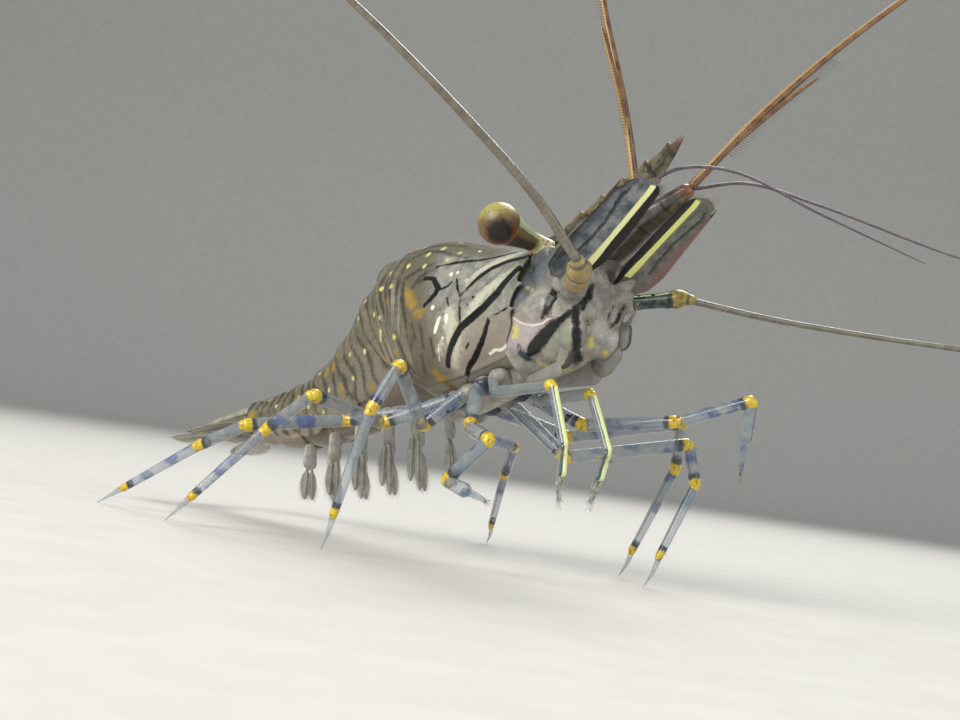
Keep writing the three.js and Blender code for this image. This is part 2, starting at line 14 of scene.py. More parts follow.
import bpy
import numpy as np
from mathutils import Matrix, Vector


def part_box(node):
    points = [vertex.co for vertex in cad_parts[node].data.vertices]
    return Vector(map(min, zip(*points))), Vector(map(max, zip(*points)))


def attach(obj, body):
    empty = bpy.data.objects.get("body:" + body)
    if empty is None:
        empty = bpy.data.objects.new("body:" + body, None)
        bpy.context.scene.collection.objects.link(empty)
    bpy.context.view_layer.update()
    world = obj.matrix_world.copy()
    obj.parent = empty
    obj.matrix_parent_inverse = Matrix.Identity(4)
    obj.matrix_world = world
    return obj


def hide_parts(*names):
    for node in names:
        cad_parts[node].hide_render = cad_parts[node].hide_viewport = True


bl_info = {
    "name": "Rockpool Prawn",
    "version": (1, 0, 0),
    "blender": (4, 5, 0),
    "location": "View3D > Sidebar > Prawn",
    "description": "Dresses the solid frame of a life-size rockpool prawn",
    "category": "Add Mesh",
}

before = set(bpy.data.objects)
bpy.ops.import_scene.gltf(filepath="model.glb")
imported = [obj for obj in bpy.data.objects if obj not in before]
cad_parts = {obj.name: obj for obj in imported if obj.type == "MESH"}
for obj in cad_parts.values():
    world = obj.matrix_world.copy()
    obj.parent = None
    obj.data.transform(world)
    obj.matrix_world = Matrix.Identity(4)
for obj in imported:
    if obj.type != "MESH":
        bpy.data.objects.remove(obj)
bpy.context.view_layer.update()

MM = 0.001
HEAD_PITCH = math.radians(22.0)
HEAD_HEIGHT = 14.0
SIDES = {"left": 1.0, "right": -1.0}
EYE_CENTRE = (0.95, 4.08, 2.08)
EYE_RADIUS = 1.02485
UP = (0.0, 0.0, 1.0)
FAR = 9.0  # a distance past the reach of every mark
HAIR_PATCH = 0.003  # width of one hair's patch on the UV map


# ---------------------------------------------------------------- numbers and frames
def ease(t):
    """Smooth step from 0 to 1."""
    t = np.clip(t, 0.0, 1.0)
    return t * t * (3.0 - 2.0 * t)


def mix(a, b, t):
    """The value t of the way from a to b."""
    return a + (b - a) * t


def unit(v):
    v = np.asarray(v, float)
    return v / np.maximum(np.linalg.norm(v, axis=-1, keepdims=True), 1e-12)


def bump(value, middle, width):
    """Bell curve: 1 in the middle, 0.37 at one width from it."""
    return np.exp(-(((value - middle) / width) ** 2))


def smooth_between(value, places, heights, softness):
    """Straight pieces between given places, averaged over a window to round their corners."""
    shifts = np.linspace(-softness, softness, 9)
    return np.mean([np.interp(value + s, places, heights) for s in shifts], axis=0)


def circle(count):
    """Even turns round a ring, in radians."""
    return np.linspace(0, 2 * math.pi, count, endpoint=False)


def fuller(wave, power=0.85):
    """A sine to a power below one, with its sign kept: the section that it draws is fuller than round."""
    return np.sign(wave) * np.abs(wave) ** power


def egg_section(turn, half, top, bottom, widest):
    """y and z of an egg: y is the half width times the sine of the turn, made fuller, and z runs from
    the widest height to the top or bottom by the cosine."""
    rise = np.cos(turn)
    return half * fuller(np.sin(turn)), mix(widest, np.where(rise > 0, top, bottom), np.abs(rise))


def pitched(points, angle):
    """Turns points about y, from x towards z."""
    x, y, z = np.moveaxis(np.asarray(points, float), -1, 0)
    c, s = math.cos(angle), math.sin(angle)
    return np.stack([x * c - z * s, y, x * s + z * c], -1)


def head_to_floor(points):
    return pitched(points, HEAD_PITCH) + [0.0, 0.0, HEAD_HEIGHT]


def floor_to_head(points):
    return pitched(np.asarray(points, float) - [0.0, 0.0, HEAD_HEIGHT], -HEAD_PITCH)


def row_origin():
    """Where the floor frame's origin lies in the row frame, from the middle of the two eyes."""
    middle = np.mean([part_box(f"eye_{side}") for side in SIDES], axis=(0, 1)) / MM
    ahead = head_to_floor([EYE_CENTRE[0], 0.0, EYE_CENTRE[2]])[0]
    return middle[0], middle[1] + ahead


ORIGIN = row_origin()


def to_row(points):
    """Head-frame millimetres to row-frame metres."""
    x, y, z = np.moveaxis(head_to_floor(points), -1, 0)
    return np.stack([ORIGIN[0] + y, ORIGIN[1] - x, z], -1) * MM


def mirrored(points, side):
    return np.asarray(points, float) * [1.0, side, 1.0]


def set_out(axes, a, b, c):
    """Points at the distances a, b and c along three directions. axes is the root, then the directions."""
    root, *directions = axes
    return root + np.stack(np.broadcast_arrays(a, b, c), -1) @ np.array(directions)


def path_length(path):
    return np.append(0.0, np.cumsum(np.linalg.norm(np.diff(path, axis=0), axis=1)))


def along_path(path, s, at):
    """Places on a path at the distances at. s is the distance of each of its own points."""
    return np.stack([np.interp(at, s, column) for column in path.T], 1)


def curve_through(places, count):
    """Even steps along a smooth line through a few places: cubic pieces with centripetal slopes."""
    p = np.asarray(places, float)
    p = np.vstack([2 * p[0] - p[1], p, 2 * p[-1] - p[-2]])
    u = np.linspace(0, 1, 48, endpoint=False)[:, None]
    fine = []
    for a, b, c, d in zip(p[:-3], p[1:-2], p[2:-1], p[3:]):
        ab, bc, cd = (math.sqrt(np.linalg.norm(q)) for q in (b - a, c - b, d - c))
        out = ((b - a) / ab - (c - a) / (ab + bc) + (c - b) / bc) * bc
        into = ((c - b) / bc - (d - b) / (bc + cd) + (d - c) / cd) * bc
        fine.append(b + out * u + (3 * (c - b) - 2 * out - into) * u**2 + (2 * (b - c) + out + into) * u**3)
    fine = np.vstack(fine + [p[-2:-1]])
    length = path_length(fine)
    return along_path(fine, length, np.linspace(0, length[-1], count))


def stroke_distance(points, route, half_width):
    """Millimetres from each point to the line through the route, less the line's half width there."""
    flat = points.reshape(-1, 3)
    half = np.broadcast_to(half_width, (len(route),))
    best = np.full(len(flat), 1.0)
    for a, b, wa, wb in zip(route[:-1], route[1:], half[:-1], half[1:]):
        step = b - a
        t = np.clip((flat - a) @ step / max(step @ step, 1e-9), 0, 1)
        gap = np.linalg.norm(flat - a - t[:, None] * step, axis=1) - mix(wa, wb, t)
        best = np.minimum(best, gap)
    return best.reshape(points.shape[:-1])


# ---------------------------------------------------------------- mesh building
class Skin:
    """Closed surfaces gathered into one mesh, with marks at their points."""

    def __init__(self, *marks):
        self.points, self.faces, self.spots = [], [], []
        self.marks = {mark: [] for mark in marks}
        self.count = 0

    def add(self, points, *faces, **marks):
        """Adds points, faces numbered from 0 within them, and marks: 1 where one isn't named."""
        self.points.append(points)
        for group in faces:
            self.faces += (group + self.count).tolist()
        for mark, store in self.marks.items():
            store.append(np.broadcast_to(marks.get(mark, 1.0), (len(points),)))
        self.count += len(points)
        return self

    def rings(self, rings, **marks):
        """Closes a stack of rings into a tube, with a middle point at each end and faces outward.

        A mark is one number, a number for each ring or a number for each point.
        """
        n, m, _ = rings.shape
        grid = np.arange(n * m).reshape(n, m)
        after = np.roll(grid, -1, 1)
        quads = np.stack([grid[:-1], after[:-1], after[1:], grid[1:]], -1).reshape(-1, 4)
        start = np.stack([np.full(m, n * m), after[0], grid[0]], -1)
        end = np.stack([np.full(m, n * m + 1), grid[-1], after[-1]], -1)
        points = np.vstack([rings.reshape(-1, 3), rings[[0, -1]].mean(1)])
        faces = [quads, start, end]
        if signed_volume(points, *faces) < 0:
            faces = [group[:, ::-1] for group in faces]
        for mark, value in marks.items():
            value = np.asarray(value, float)
            value = np.broadcast_to(value[:, None] if value.ndim == 1 else value, (n, m))
            marks[mark] = np.append(value, value[[0, -1]].mean(1))
        return self.add(points, *faces, **marks)

    def melted(self, grain_size, passes):
        """Joins the closed surfaces gathered so far into one skin and eases its creases."""
        mesh = bpy.data.meshes.new("melting")
        mesh.from_pydata(np.vstack(self.points).tolist(), [], self.faces)
        item = bpy.data.objects.new("melting", mesh)
        bpy.context.scene.collection.objects.link(item)
        remesh = item.modifiers.new("join", "REMESH")
        remesh.mode = "VOXEL"
        remesh.voxel_size = grain_size
        ease_out = item.modifiers.new("ease", "SMOOTH")
        ease_out.factor = 0.5
        ease_out.iterations = passes
        done = item.evaluated_get(bpy.context.evaluated_depsgraph_get()).to_mesh()
        points = np.empty(3 * len(done.vertices))
        done.vertices.foreach_get("co", points)
        faces = np.array([face.vertices[:] for face in done.polygons])
        item.to_mesh_clear()
        bpy.data.objects.remove(item)
        bpy.data.meshes.remove(mesh)
        return points.reshape(-1, 3), faces

    def bristles(self, roots, ways, lengths, radius, bend=0.0, fall=(0.0, 0.0, -1.0), place=None, row=0.5):
        """Three-sided hairs that taper to a point, with one bend towards fall on the way.

        place and row, from 0 to 1, say where each hair's patch lies on the UV map.
        """
        roots, ways = np.asarray(roots, float), unit(ways)
        k = len(roots)
        lengths = np.broadcast_to(lengths, (k,))[:, None]
        droop = np.asarray(fall, float) * bend * lengths
        across = unit(np.cross(ways, unit((0.31, 0.52, 0.79))))
        up = np.cross(ways, across)
        turn = circle(3)[:, None]
        star = radius * (np.cos(turn) * across[:, None] + np.sin(turn) * up[:, None])
        knee = (roots + 0.55 * lengths * ways + 0.3 * droop)[:, None] + 0.62 * star
        tip = (roots + lengths * ways + droop)[:, None]
        points = np.concatenate([roots[:, None] + star, knee, tip], 1).reshape(-1, 3)
        ends = np.array([[0, 2, 1], [6, 3, 4], [6, 4, 5], [6, 5, 3]])
        walls = np.array([[0, 1, 4, 3], [1, 2, 5, 4], [2, 0, 3, 5]])
        first = 7 * np.arange(k)[:, None, None]
        place = np.linspace(0, 1, k) if place is None else place
        spots = np.stack([0.05 + 0.9 * place, np.broadcast_to(row, (k,))], 1)
        patch = np.array([[0, 0], [1, 0], [0.5, 1], [0, 0.5], [1, 0.5], [0.5, 0.5], [0.5, 1]]) * HAIR_PATCH
        self.spots.append((spots[:, None] + patch).reshape(-1, 2))
        return self.add(points, (first + ends).reshape(-1, 3), (first + walls).reshape(-1, 4))

    def make(self, name, material, slot=None, *nodes):
        """Puts the mesh into the scene as one piece that rides on the frame and replaces the nodes."""
        mesh = bpy.data.meshes.new(name)
        mesh.from_pydata(to_row(np.vstack(self.points)).tolist(), [], self.faces)
        mesh.polygons.foreach_set("use_smooth", np.ones(len(mesh.polygons), bool))
        for mark, values in self.marks.items():
            layer = mesh.attributes.new(mark, "FLOAT", "POINT")
            layer.data.foreach_set("value", np.concatenate(values).astype(np.float32))
        if self.spots:
            corner = np.empty(len(mesh.loops), np.int32)
            mesh.loops.foreach_get("vertex_index", corner)
            layer = mesh.uv_layers.new(name="OFBake")
            layer.data.foreach_set("uv", np.vstack(self.spots)[corner].reshape(-1).astype(np.float32))
        mesh.update()
        piece = bpy.data.objects.new(name, mesh)
        bpy.context.scene.collection.objects.link(piece)
        mesh.materials.append(material)
        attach(piece, "root")
        if nodes:
            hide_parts(*nodes)


def signed_volume(points, quads, *fans):
    """Six times the volume that the faces shut in, above zero where they point outward."""
    triangles = np.vstack([quads[:, [0, 1, 2]], quads[:, [0, 2, 3]], *fans])
    a, b, c = (points[triangles[:, i]] for i in range(3))
    return float((a * np.cross(b, c)).sum())


def tube(path, radii, sides, wide=UP):
    """Round rings across a path, which start towards the direction wide turned square to the path."""
    path = np.asarray(path, float)
    tangent = unit(np.gradient(path, axis=0))
    across = unit(np.cross(wide, tangent))
    up = np.cross(tangent, across)
    turn = circle(sides)[:, None]
    star = np.cos(turn) * across[:, None] + np.sin(turn) * up[:, None]
    return path[:, None] + radii[:, None, None] * star


def rounded(t, length, near, far):
    """Share of the full radius at t of the way along, with round caps of the lengths near and far."""
    near = 1 - np.clip(t * length / near, 0, 1)
    far = 1 - np.clip((1 - t) * length / far, 0, 1)
    return np.sqrt((1 - near**2) * (1 - far**2))


def capped_steps(count):
    """Steps from 0 to 1 that crowd towards both ends."""
    t = np.linspace(0, 1, count)
    return mix(t, 0.5 - 0.5 * np.cos(math.pi * t), 0.88)


# ---------------------------------------------------------------- finishes
# Nodes of the finishes: Blender's type, its options and the output that is read
NODES = {
    "place": ("TexCoord", {}, "Object"),
    "mark": ("Attribute", {}, "Fac"),
    "noise": ("TexNoise", {}, "Fac"),
    "cells": ("TexVoronoi", {}, "Distance"),
    "edge": ("LayerWeight", {"Blend": 0.5}, "Facing"),
    "fade": ("MapRange", {"interpolation_type": "SMOOTHSTEP"}, "Result"),
    "blend": ("Mix", {"data_type": "RGBA"}, "Result"),
    "plus": ("Math", {"operation": "ADD"}, "Value"),
    "minus": ("Math", {"operation": "SUBTRACT"}, "Value"),
    "times": ("Math", {"operation": "MULTIPLY"}, "Value"),
    "most": ("Math", {"operation": "MAXIMUM"}, "Value"),
    "size": ("Math", {"operation": "ABSOLUTE"}, "Value"),
    "ripple": ("Bump", {}, "Normal"),
    "shader": ("BsdfPrincipled", {}, "BSDF"),
    "output": ("OutputMaterial", {}, None),
}


def linear(hex_colour):
    """Linear red, green and blue from a hex colour."""
    channels = [int(hex_colour[i : i + 2], 16) / 255 for i in (1, 3, 5)]
    return tuple(c / 12.92 if c <= 0.04045 else ((c + 0.055) / 1.055) ** 2.4 for c in channels)


def add_node(tree, kind, *inputs, **named):
    """Adds a node of a kind in NODES with its settings and links, and gives its output.

    inputs fill its sockets in order. The named ones are options or sockets, with _ for a space. Each is
    a number, a colour (hex, or linear red, green and blue) or another node's output.
    """
    blender_type, options, output = NODES[kind]
    node = tree.nodes.new("ShaderNode" + blender_type)
    filled = []
    for name, value in {**options, **named}.items():
        if hasattr(node, name):
            setattr(node, name, value)
        else:
            filled.append((node.inputs[name.replace("_", " ")], value))
    live = [socket for socket in node.inputs if socket.enabled]
    for socket, value in [*zip(live, inputs), *filled]:
        if isinstance(value, bpy.types.NodeSocket):
            tree.links.new(value, socket)
        elif socket.type == "RGBA":
            socket.default_value = (*(linear(value) if isinstance(value, str) else value), 1.0)
        else:
            socket.default_value = value
    return next((socket for socket in node.outputs if socket.enabled and socket.name == output), None)


def new_finish(name):
    """An empty material and the function that adds nodes to it."""
    material = bpy.data.materials.new(name)
    material.use_nodes = True
    material.node_tree.nodes.clear()
    return material, functools.partial(add_node, material.node_tree)


def painted(node, colour, *coats):
    """Lays coats over a colour. Each is (share that it hides, its colour)."""
    for share, shade in coats:
        colour = node("blend", share, colour, shade)
    return colour


def finished(material, node, colour, **settings):
    node("output", node("shader", colour, **settings))
    return material


def grain(node, size_mm, detail=2.0):
    """Soft noise from 0 to 1 with features of about the given size."""
    return node("noise", node("place"), Scale=1 / (size_mm * MM), Detail=detail)


def mottle(node, size_mm, low=0.35, high=0.65, at_low=0.0, at_high=1.0):
    """Patches of about the given size."""
    return node("fade", grain(node, size_mm, 3.0), low, high, at_low, at_high)


def uneven(node, value, size_mm, amount):
    """A value shifted by soft noise, by up to half the amount either way."""
    shift = node("times", node("minus", grain(node, size_mm), 0.5), amount)
    return node("plus", value, shift)


def most(node, first, *others):
    """Greatest of several values."""
    for other in others:
        first = node("most", first, other)
    return first


def line_at(node, value, middle, low, high, strength):
    """Strength where a value is within low of the middle, fading to 0 at high."""
    return node("fade", node("size", node("minus", value, middle)), low, high, strength, 0.0)


def inside(node, mark, edge, wobble, size_mm=0.25):
    """1 where a mark's number is below zero, 0 above it, with a soft and slightly uneven edge."""
    value = uneven(node, node("mark", attribute_name=mark), size_mm, 2 * wobble)
    return node("fade", value, -edge, edge, 1.0, 0.0)


def fine_ripple(node, strength, size_mm, depth_mm=0.03):
    """Shallow unevenness of a shell, as fine as shows."""
    return node("ripple", Strength=strength, Distance=depth_mm * MM, Height=grain(node, size_mm, 3.0))


def shell(name, ground, second, layers, speckle, clear=1.0, tints=(), dots="#2b2a22", edge_line=None):
    """Chitin, moulted and cast in thin plates: a mottled ground, tiny pigment dots and painted marks.

    Each layer is (mark, colour, edge, wobble, strength). clear is how solid the bare ground is, and the
    marks are solid. Each tint is (mark, colour, low, high): the ground turns to it along a mark.
    edge_line is (mark, colour, low, high): a line where the mark is below low, gone above high.
    """
    material, node = new_finish(name)
    colour = painted(node, ground, (mottle(node, 0.55), second))
    for mark, shade, low, high in tints:
        colour = painted(node, colour, (node("fade", node("mark", attribute_name=mark), low, high), shade))
    cells = node("cells", node("place"), Scale=1 / (0.16 * MM))
    kept = node("fade", grain(node, 0.9), 0.42, 0.62)
    solid = node("times", node("times", node("fade", cells, 0.12, 0.24, 1.0, 0.0), kept), speckle)
    colour = painted(node, colour, (solid, dots))
    for mark, shade, edge, wobble, strength in layers:
        share = node("times", inside(node, mark, edge, wobble), strength)
        colour = painted(node, colour, (share, shade))
        solid = node("most", solid, share)
    if edge_line:
        mark, shade, low, high = edge_line
        line = node("fade", node("mark", attribute_name=mark), low, high, 0.9, 0.0)
        colour = painted(node, colour, (line, shade))
    if clear < 1.0:
        body = {"Alpha": node("most", solid, clear)}
    else:
        body = {"Subsurface_Weight": 0.3, "Subsurface_Scale": 0.5 * MM, "Subsurface_Radius": (1.0, 0.85, 0.7)}
    return finished(
        material,
        node,
        colour,
        IOR=1.42,
        Specular_IOR_Level=0.35,
        Coat_Weight=0.06,
        Coat_Roughness=0.12,
        Normal=fine_ripple(node, 0.25, 0.14),
        Roughness=node("fade", grain(node, 0.4), 0.3, 0.7, 0.24, 0.375),
        **body,
    )


def bristle_finish(name, root, tip):
    """Horny hair in soft patches of two colours, which lets some light past."""
    material, node = new_finish(name)
    patches = node("fade", grain(node, 0.5), 0.35, 0.65)
    return finished(material, node, painted(node, root, (patches, tip)), Roughness=0.45, Alpha=0.75, IOR=1.5)


# ---------------------------------------------------------------- carapace
def carapace_point(x, turn, lift=0.0):
    """Egg-shaped section at x, with turn = 0 on the back and 180 degrees below.

    The top rises and the half width grows from front to rear, and the lower edge sags in the middle.
    lift moves the point out from the section's middle.
    """
    t = np.clip((0.4 - x) / 9.2, 0, 1)
    top = mix(2.3, 5.8, ease(t))
    bottom = -3.1 - 0.45 * np.sin(math.pi * t)
    half = mix(1.9, 3.05, 1 - (1 - t) ** 3)
    widest = mix(bottom, top, 0.42)
    y, z = egg_section(turn, half, top, bottom, widest)
    out = unit(np.stack([np.zeros_like(y), y, (z - widest) * 0.8], -1))
    return np.stack(np.broadcast_arrays(x, y, z), -1) + np.asarray(lift)[..., None] * out


def front_margin(degrees):
    """x of the carapace's front edge by turn: an orbit notch, two spines, then a sweep back."""
    turns = [0, 38, 48, 60, 70, 80, 92, 116, 135, 180]
    edge = [0.38, 0.38, 0.15, -0.25, -0.45, -0.6, -0.95, -1.15, -1.9, -2.6]
    spines = 0.5 * np.exp(-np.abs(degrees - 77) / 2.6) + 0.34 * np.exp(-np.abs(degrees - 99) / 2.4)
    return smooth_between(degrees, turns, edge, 4.0) + spines


def rear_margin(degrees):
    """x of the carapace's rear edge by turn: it swings forward half way down each side."""
    turns, edge = [0, 30, 54, 89, 120, 145, 180], [-8.8, -8.75, -8.4, -7.75, -8.1, -8.7, -8.7]
    return smooth_between(degrees, turns, edge, 6.0)


def dots(*places):
    """Round spots as short strokes, from (x, turn, radius)."""
    return tuple((radius, ((x, turn), (x - 0.04, turn))) for x, turn, radius in places)


# Pigment strokes on the carapace: half width in mm, then places as (x, turn in degrees)
CARAPACE_STROKES = {
    "dark": (
        (
            0.19,
            (
                (-0.35, 60), (-0.8, 67), (-1.4, 79), (-2.3, 89), (-3.1, 96), (-4.1, 103), (-4.8, 113),
                (-5.5, 124), (-5.9, 133),
            ),
        ),
        (0.13, ((0.2, 47), (-1.1, 47), (-2.0, 53), (-3.1, 66), (-3.9, 76))),
        (0.08, ((-3.9, 76), (-4.1, 70), (-4.2, 63))),
        (0.09, ((-3.9, 76), (-4.0, 88), (-4.1, 103))),
        (0.08, ((-1.0, 30), (-2.2, 38), (-3.1, 42), (-4.1, 46), (-4.9, 50), (-5.8, 53))),
        (0.14, ((-6.5, 62), (-5.8, 63), (-5.4, 70), (-5.6, 74), (-6.0, 78), (-6.4, 81))),
        (0.06, ((-5.3, 71), (-4.8, 69), (-4.5, 65))),
        (0.13, ((-2.2, 104), (-2.6, 114), (-3.0, 122), (-3.8, 133), (-4.7, 142), (-5.3, 151), (-5.9, 160))),
        (0.05, ((-2.6, 49), (-3.0, 51))),
        (0.06, ((-3.3, 57), (-3.5, 59))),
        (0.06, ((-1.8, 67), (-2.5, 73))),
        (0.07, ((-3.8, 119), (-4.1, 123))),
        (0.06, ((-4.8, 77), (-4.7, 83))),
        (0.05, ((-0.4, 92), (-1.3, 98), (-2.2, 101))),
    )
    + dots((-2.95, 79, 0.09), (-3.35, 84, 0.05), (-5.1, 88, 0.06), (-1.5, 96, 0.05)),
    "streak": (
        (0.08, ((-5.8, 53), (-6.5, 57), (-7.1, 61), (-7.5, 68))),
        (0.08, ((-7.3, 64), (-6.9, 64), (-6.4, 62))),
        (0.10, ((-8.8, 60), (-7.4, 54), (-5.9, 50))),
        (0.08, ((-7.6, 67), (-6.6, 59), (-5.7, 54))),
        (0.09, ((-8.6, 40), (-7.4, 34), (-6.0, 36), (-5.0, 40), (-4.0, 41))),
        (0.08, ((-8.7, 30), (-7.4, 27), (-6.0, 24), (-4.6, 24))),
        (0.08, ((-8.6, 14), (-7.0, 12), (-5.0, 10), (-3.6, 8))),
        (0.10, ((-8.5, 78), (-8.0, 89), (-8.3, 106))),
        (0.11, ((-7.65, 104), (-8.35, 120), (-8.75, 137))),
        (0.08, ((-7.3, 118), (-7.7, 133))),
        (0.09, ((-7.5, 92), (-7.4, 104))),
        (0.07, ((-6.9, 92), (-6.8, 100), (-7.0, 112))),
        (0.08, ((-6.3, 106), (-6.5, 122))),
        (0.12, ((-8.3, 157), (-7.8, 160))),
    ),
    "cream": (
        (0.26, ((-0.3, 60), (-1.4, 69), (-2.6, 81), (-3.4, 94), (-3.8, 101))),
        (0.2, ((-0.5, 37), (-1.4, 42), (-2.4, 51), (-3.4, 64))),
        (0.34, ((-4.7, 88), (-4.7, 98), (-5.0, 112))),
        (0.2, ((-4.3, 112), (-5.0, 124), (-5.4, 134))),
        (0.16, ((-5.6, 113), (-6.1, 119))),
    ),
    "white": (
        (0.10, ((-5.4, 90), (-5.7, 97), (-5.9, 102))),
        (0.12, ((-4.9, 90), (-5.0, 94))),
        (0.07, ((-3.0, 137), (-2.6, 135), (-2.3, 138), (-1.95, 137), (-1.65, 133))),
        (0.04, ((-5.9, 112), (-6.3, 127))),
    )
    + dots((-4.6, 59, 0.1), (-4.2, 57, 0.08), (-3.45, 29, 0.07), (-5.8, 83, 0.11), (-5.45, 108, 0.08)),
    "buff": dots(
        (-8.35, 46, 0.16),
        (-6.8, 51, 0.14),
        (-6.95, 38, 0.16),
        (-8.0, 21, 0.17),
        (-6.0, 31, 0.15),
        (-5.15, 46, 0.12),
        (-4.55, 36, 0.1),
        (-8.45, 68, 0.18),
        (-7.2, 10, 0.13),
        (-5.5, 14, 0.11),
        (-8.5, 96, 0.14),
    ),
    "yellow": (
        (0.3, ((-8.3, 68), (-7.8, 73), (-7.3, 79))),
        (0.15, ((-7.2, 84), (-6.8, 86), (-6.5, 84))),
        (0.22, ((-7.0, 137), (-6.9, 142), (-6.85, 149), (-7.0, 162))),
    ),
}


def carapace_mark(points, strokes):
    """Least signed distance to any stroke, with both flanks folded onto one."""
    folded = np.abs(points) * [0, 1, 0] + points * [1, 0, 1]
    best = np.full(points.shape[:2], 1.0)
    for half, places in strokes:
        x, turn = np.array(places, float).T
        count = 6 * (len(places) - 1) + 1 if len(places) > 2 else 2
        even, steps = np.linspace(0, 1, count), np.linspace(0, 1, len(places))
        line = carapace_point(np.interp(even, steps, x), np.radians(np.interp(even, steps, turn)))
        taper = half * (0.8 + 0.45 * np.sin(math.pi * np.clip(even, 0.1, 0.9)))
        best = np.minimum(best, stroke_distance(folded, line, taper if count > 2 else half))
    return best


def carapace(rows, columns):
    """Grid from the rear edge to the front edge, with a rolled lip at each and a stepped-in underside."""
    degrees = np.degrees(circle(columns))[None] - 180
    fold = np.abs(degrees)
    rear, front = rear_margin(fold), front_margin(fold)
    x = mix(rear, front, np.linspace(0, 1, rows)[:, None])
    under = ease((fold - 147) / 4)
    lift = 0.05 * bump(fold, 146, 3.0) - 0.12 * under
    lift = lift + 0.045 * np.exp(-(front - x) / 0.16) * (1 - under) + 0.03 * np.exp(-(x - rear) / 0.2)
    behind = np.clip(front - x, 0, 9)
    keels = 0.11 * bump(fold, 77, 4.0) * np.exp(-behind / 0.9)
    keels = keels + 0.08 * bump(fold, 99, 3.5) * np.exp(-behind / 0.7)
    groove = -0.05 * bump(x, -3.3 - 0.02 * (fold - 60), 0.35)
    groove = groove * ease((fold - 40) / 25) * (1 - ease((fold - 115) / 15))
    swell = 0.06 * np.sin(1.3 * x + 0.05 * fold) * ease((fold - 20) / 30) * (1 - ease((fold - 120) / 20))
    lift = lift + keels + groove + swell
    turn = np.radians(degrees)
    body = carapace_point(x, turn, lift)
    # The lips: how far past the edge and how far in from it
    steps = ((-0.04, -0.04), (-0.02, -0.12), (0.12, -0.17), (0.5, -0.24))
    tail = [carapace_point((rear + s)[0], turn[0], lift[0] + d) for s, d in reversed(steps)]
    nose = [carapace_point((front - s)[0], turn[0], lift[-1] + d) for s, d in steps]
    rings = np.concatenate([tail, body, nose])
    x = rings[..., 0]
    return Skin(*CARAPACE_STROKES, "aft", "edge", "low").rings(
        rings,
        **{mark: carapace_mark(rings, strokes) for mark, strokes in CARAPACE_STROKES.items()},
        aft=np.maximum(ease((-4.7 - x) / 2.6), ease((50 - fold) / 22) * ease((-1.0 - x) / 2)),
        edge=np.clip(front - x, 0, 1) + ease((fold - 44) / 16),
        low=fold / 180 + 0 * x,
    )


# ---------------------------------------------------------------- rostrum
ROSTRUM_DEPTH = 1.12
TEETH_ABOVE = [-2.9 + 1.5 * i for i in range(8)]
TEETH_BELOW = [6.7, 5.2, 3.7]


def rostrum_line(x):
    """Heights of the blade's upper and lower edges without teeth: the depth closes towards the tip."""
    upper = mix(2.55, 3.76, x / 9.4)
    lower = upper - ROSTRUM_DEPTH * np.clip((9.4 - x) / 1.6, 0, 1) ** 0.7
    root = 2.1 - 0.02 * x
    return upper, np.where(x < 1.2, mix(root, lower, ease(x - 0.2)), lower)


def teeth(x, starts, height):
    """Saw teeth, each 1 mm long: they rise slowly and drop steeply at their points."""
    rise = np.zeros_like(x)
    for start in starts:
        u = np.clip(x - start, 0, 1)
        slope = np.where(u < 0.86, (u / 0.86) ** 1.5, (1 - u) / 0.14)
        rise = np.maximum(rise, height * slope)
    return rise


def rostrum():
    """Blade section carried along x: thin at its edges, with a swollen keel low on each side."""
    x = np.concatenate([np.linspace(-3.0, 9.2, 460), [9.28, 9.34, 9.38]])
    upper, lower = rostrum_line(x)
    upper = (upper + teeth(x, TEETH_ABOVE, 0.24))[:, None]
    below = teeth(x, TEETH_BELOW, 0.26)[:, None]
    lower = lower[:, None] - below
    x = x[:, None]
    turn = circle(36)
    z = mix(lower, upper, 0.5 + 0.5 * np.cos(turn))
    body = np.clip((z - lower - below) / ROSTRUM_DEPTH, 0, 2)
    root = 1 - ease((x + 0.4) / 2.2)
    half = 0.10 + 0.13 * bump(body, 0.3, 0.16) + 0.22 * root * (1 - ease((body - 0.2) / 0.7))
    y = half * np.clip((9.4 - x) / 0.9, 0, 1) ** 0.6 * fuller(np.sin(turn), 0.7)
    blotch = np.minimum(np.abs((x + 0.35 * z) % 1.5 - 0.75) - 0.16, np.abs(z - upper + 0.42) - 0.05)
    return Skin("top", "keel", "tip", "blotch").rings(
        np.stack([x + 0 * z, y, z], -1),
        top=upper - z - 0.16,
        keel=np.abs(body - 0.3) - 0.085,
        tip=np.maximum(8.75 - x, -1) + 0 * z,
        blotch=blotch,
    )


def rostrum_bristles():
    """Short hairs in front of each tooth above, leaning ahead."""
    random = np.random.default_rng(3)
    starts = np.repeat(TEETH_ABOVE[1:], 9)
    count = len(starts)
    x = starts - random.uniform(0.02, 0.45, count)
    roots = np.stack([x, random.uniform(-0.03, 0.03, count), rostrum_line(x)[0] - 0.02], 1)
    ways = [np.full(count, 0.9), random.uniform(-0.15, 0.15, count), random.uniform(0.35, 0.7, count)]
    return Skin().bristles(roots, np.stack(ways, 1), random.uniform(0.25, 0.42, count), 0.012)


# ---------------------------------------------------------------- head and mouth
def egg_rings(sections, count, sides):
    """Egg-shaped sections (x, top, bottom, half width, widest height), eased between a few given ones."""
    table = np.array(sections, float)
    u = np.linspace(0, len(table) - 1, count)
    columns = [smooth_between(u, np.arange(len(table)), column, 0.25) for column in table.T]
    x, top, bottom, half, widest = (c[:, None] for c in columns)
    y, z = egg_section(circle(sides), half, top, bottom, widest)
    return np.stack([x + 0 * y, y, z], -1)


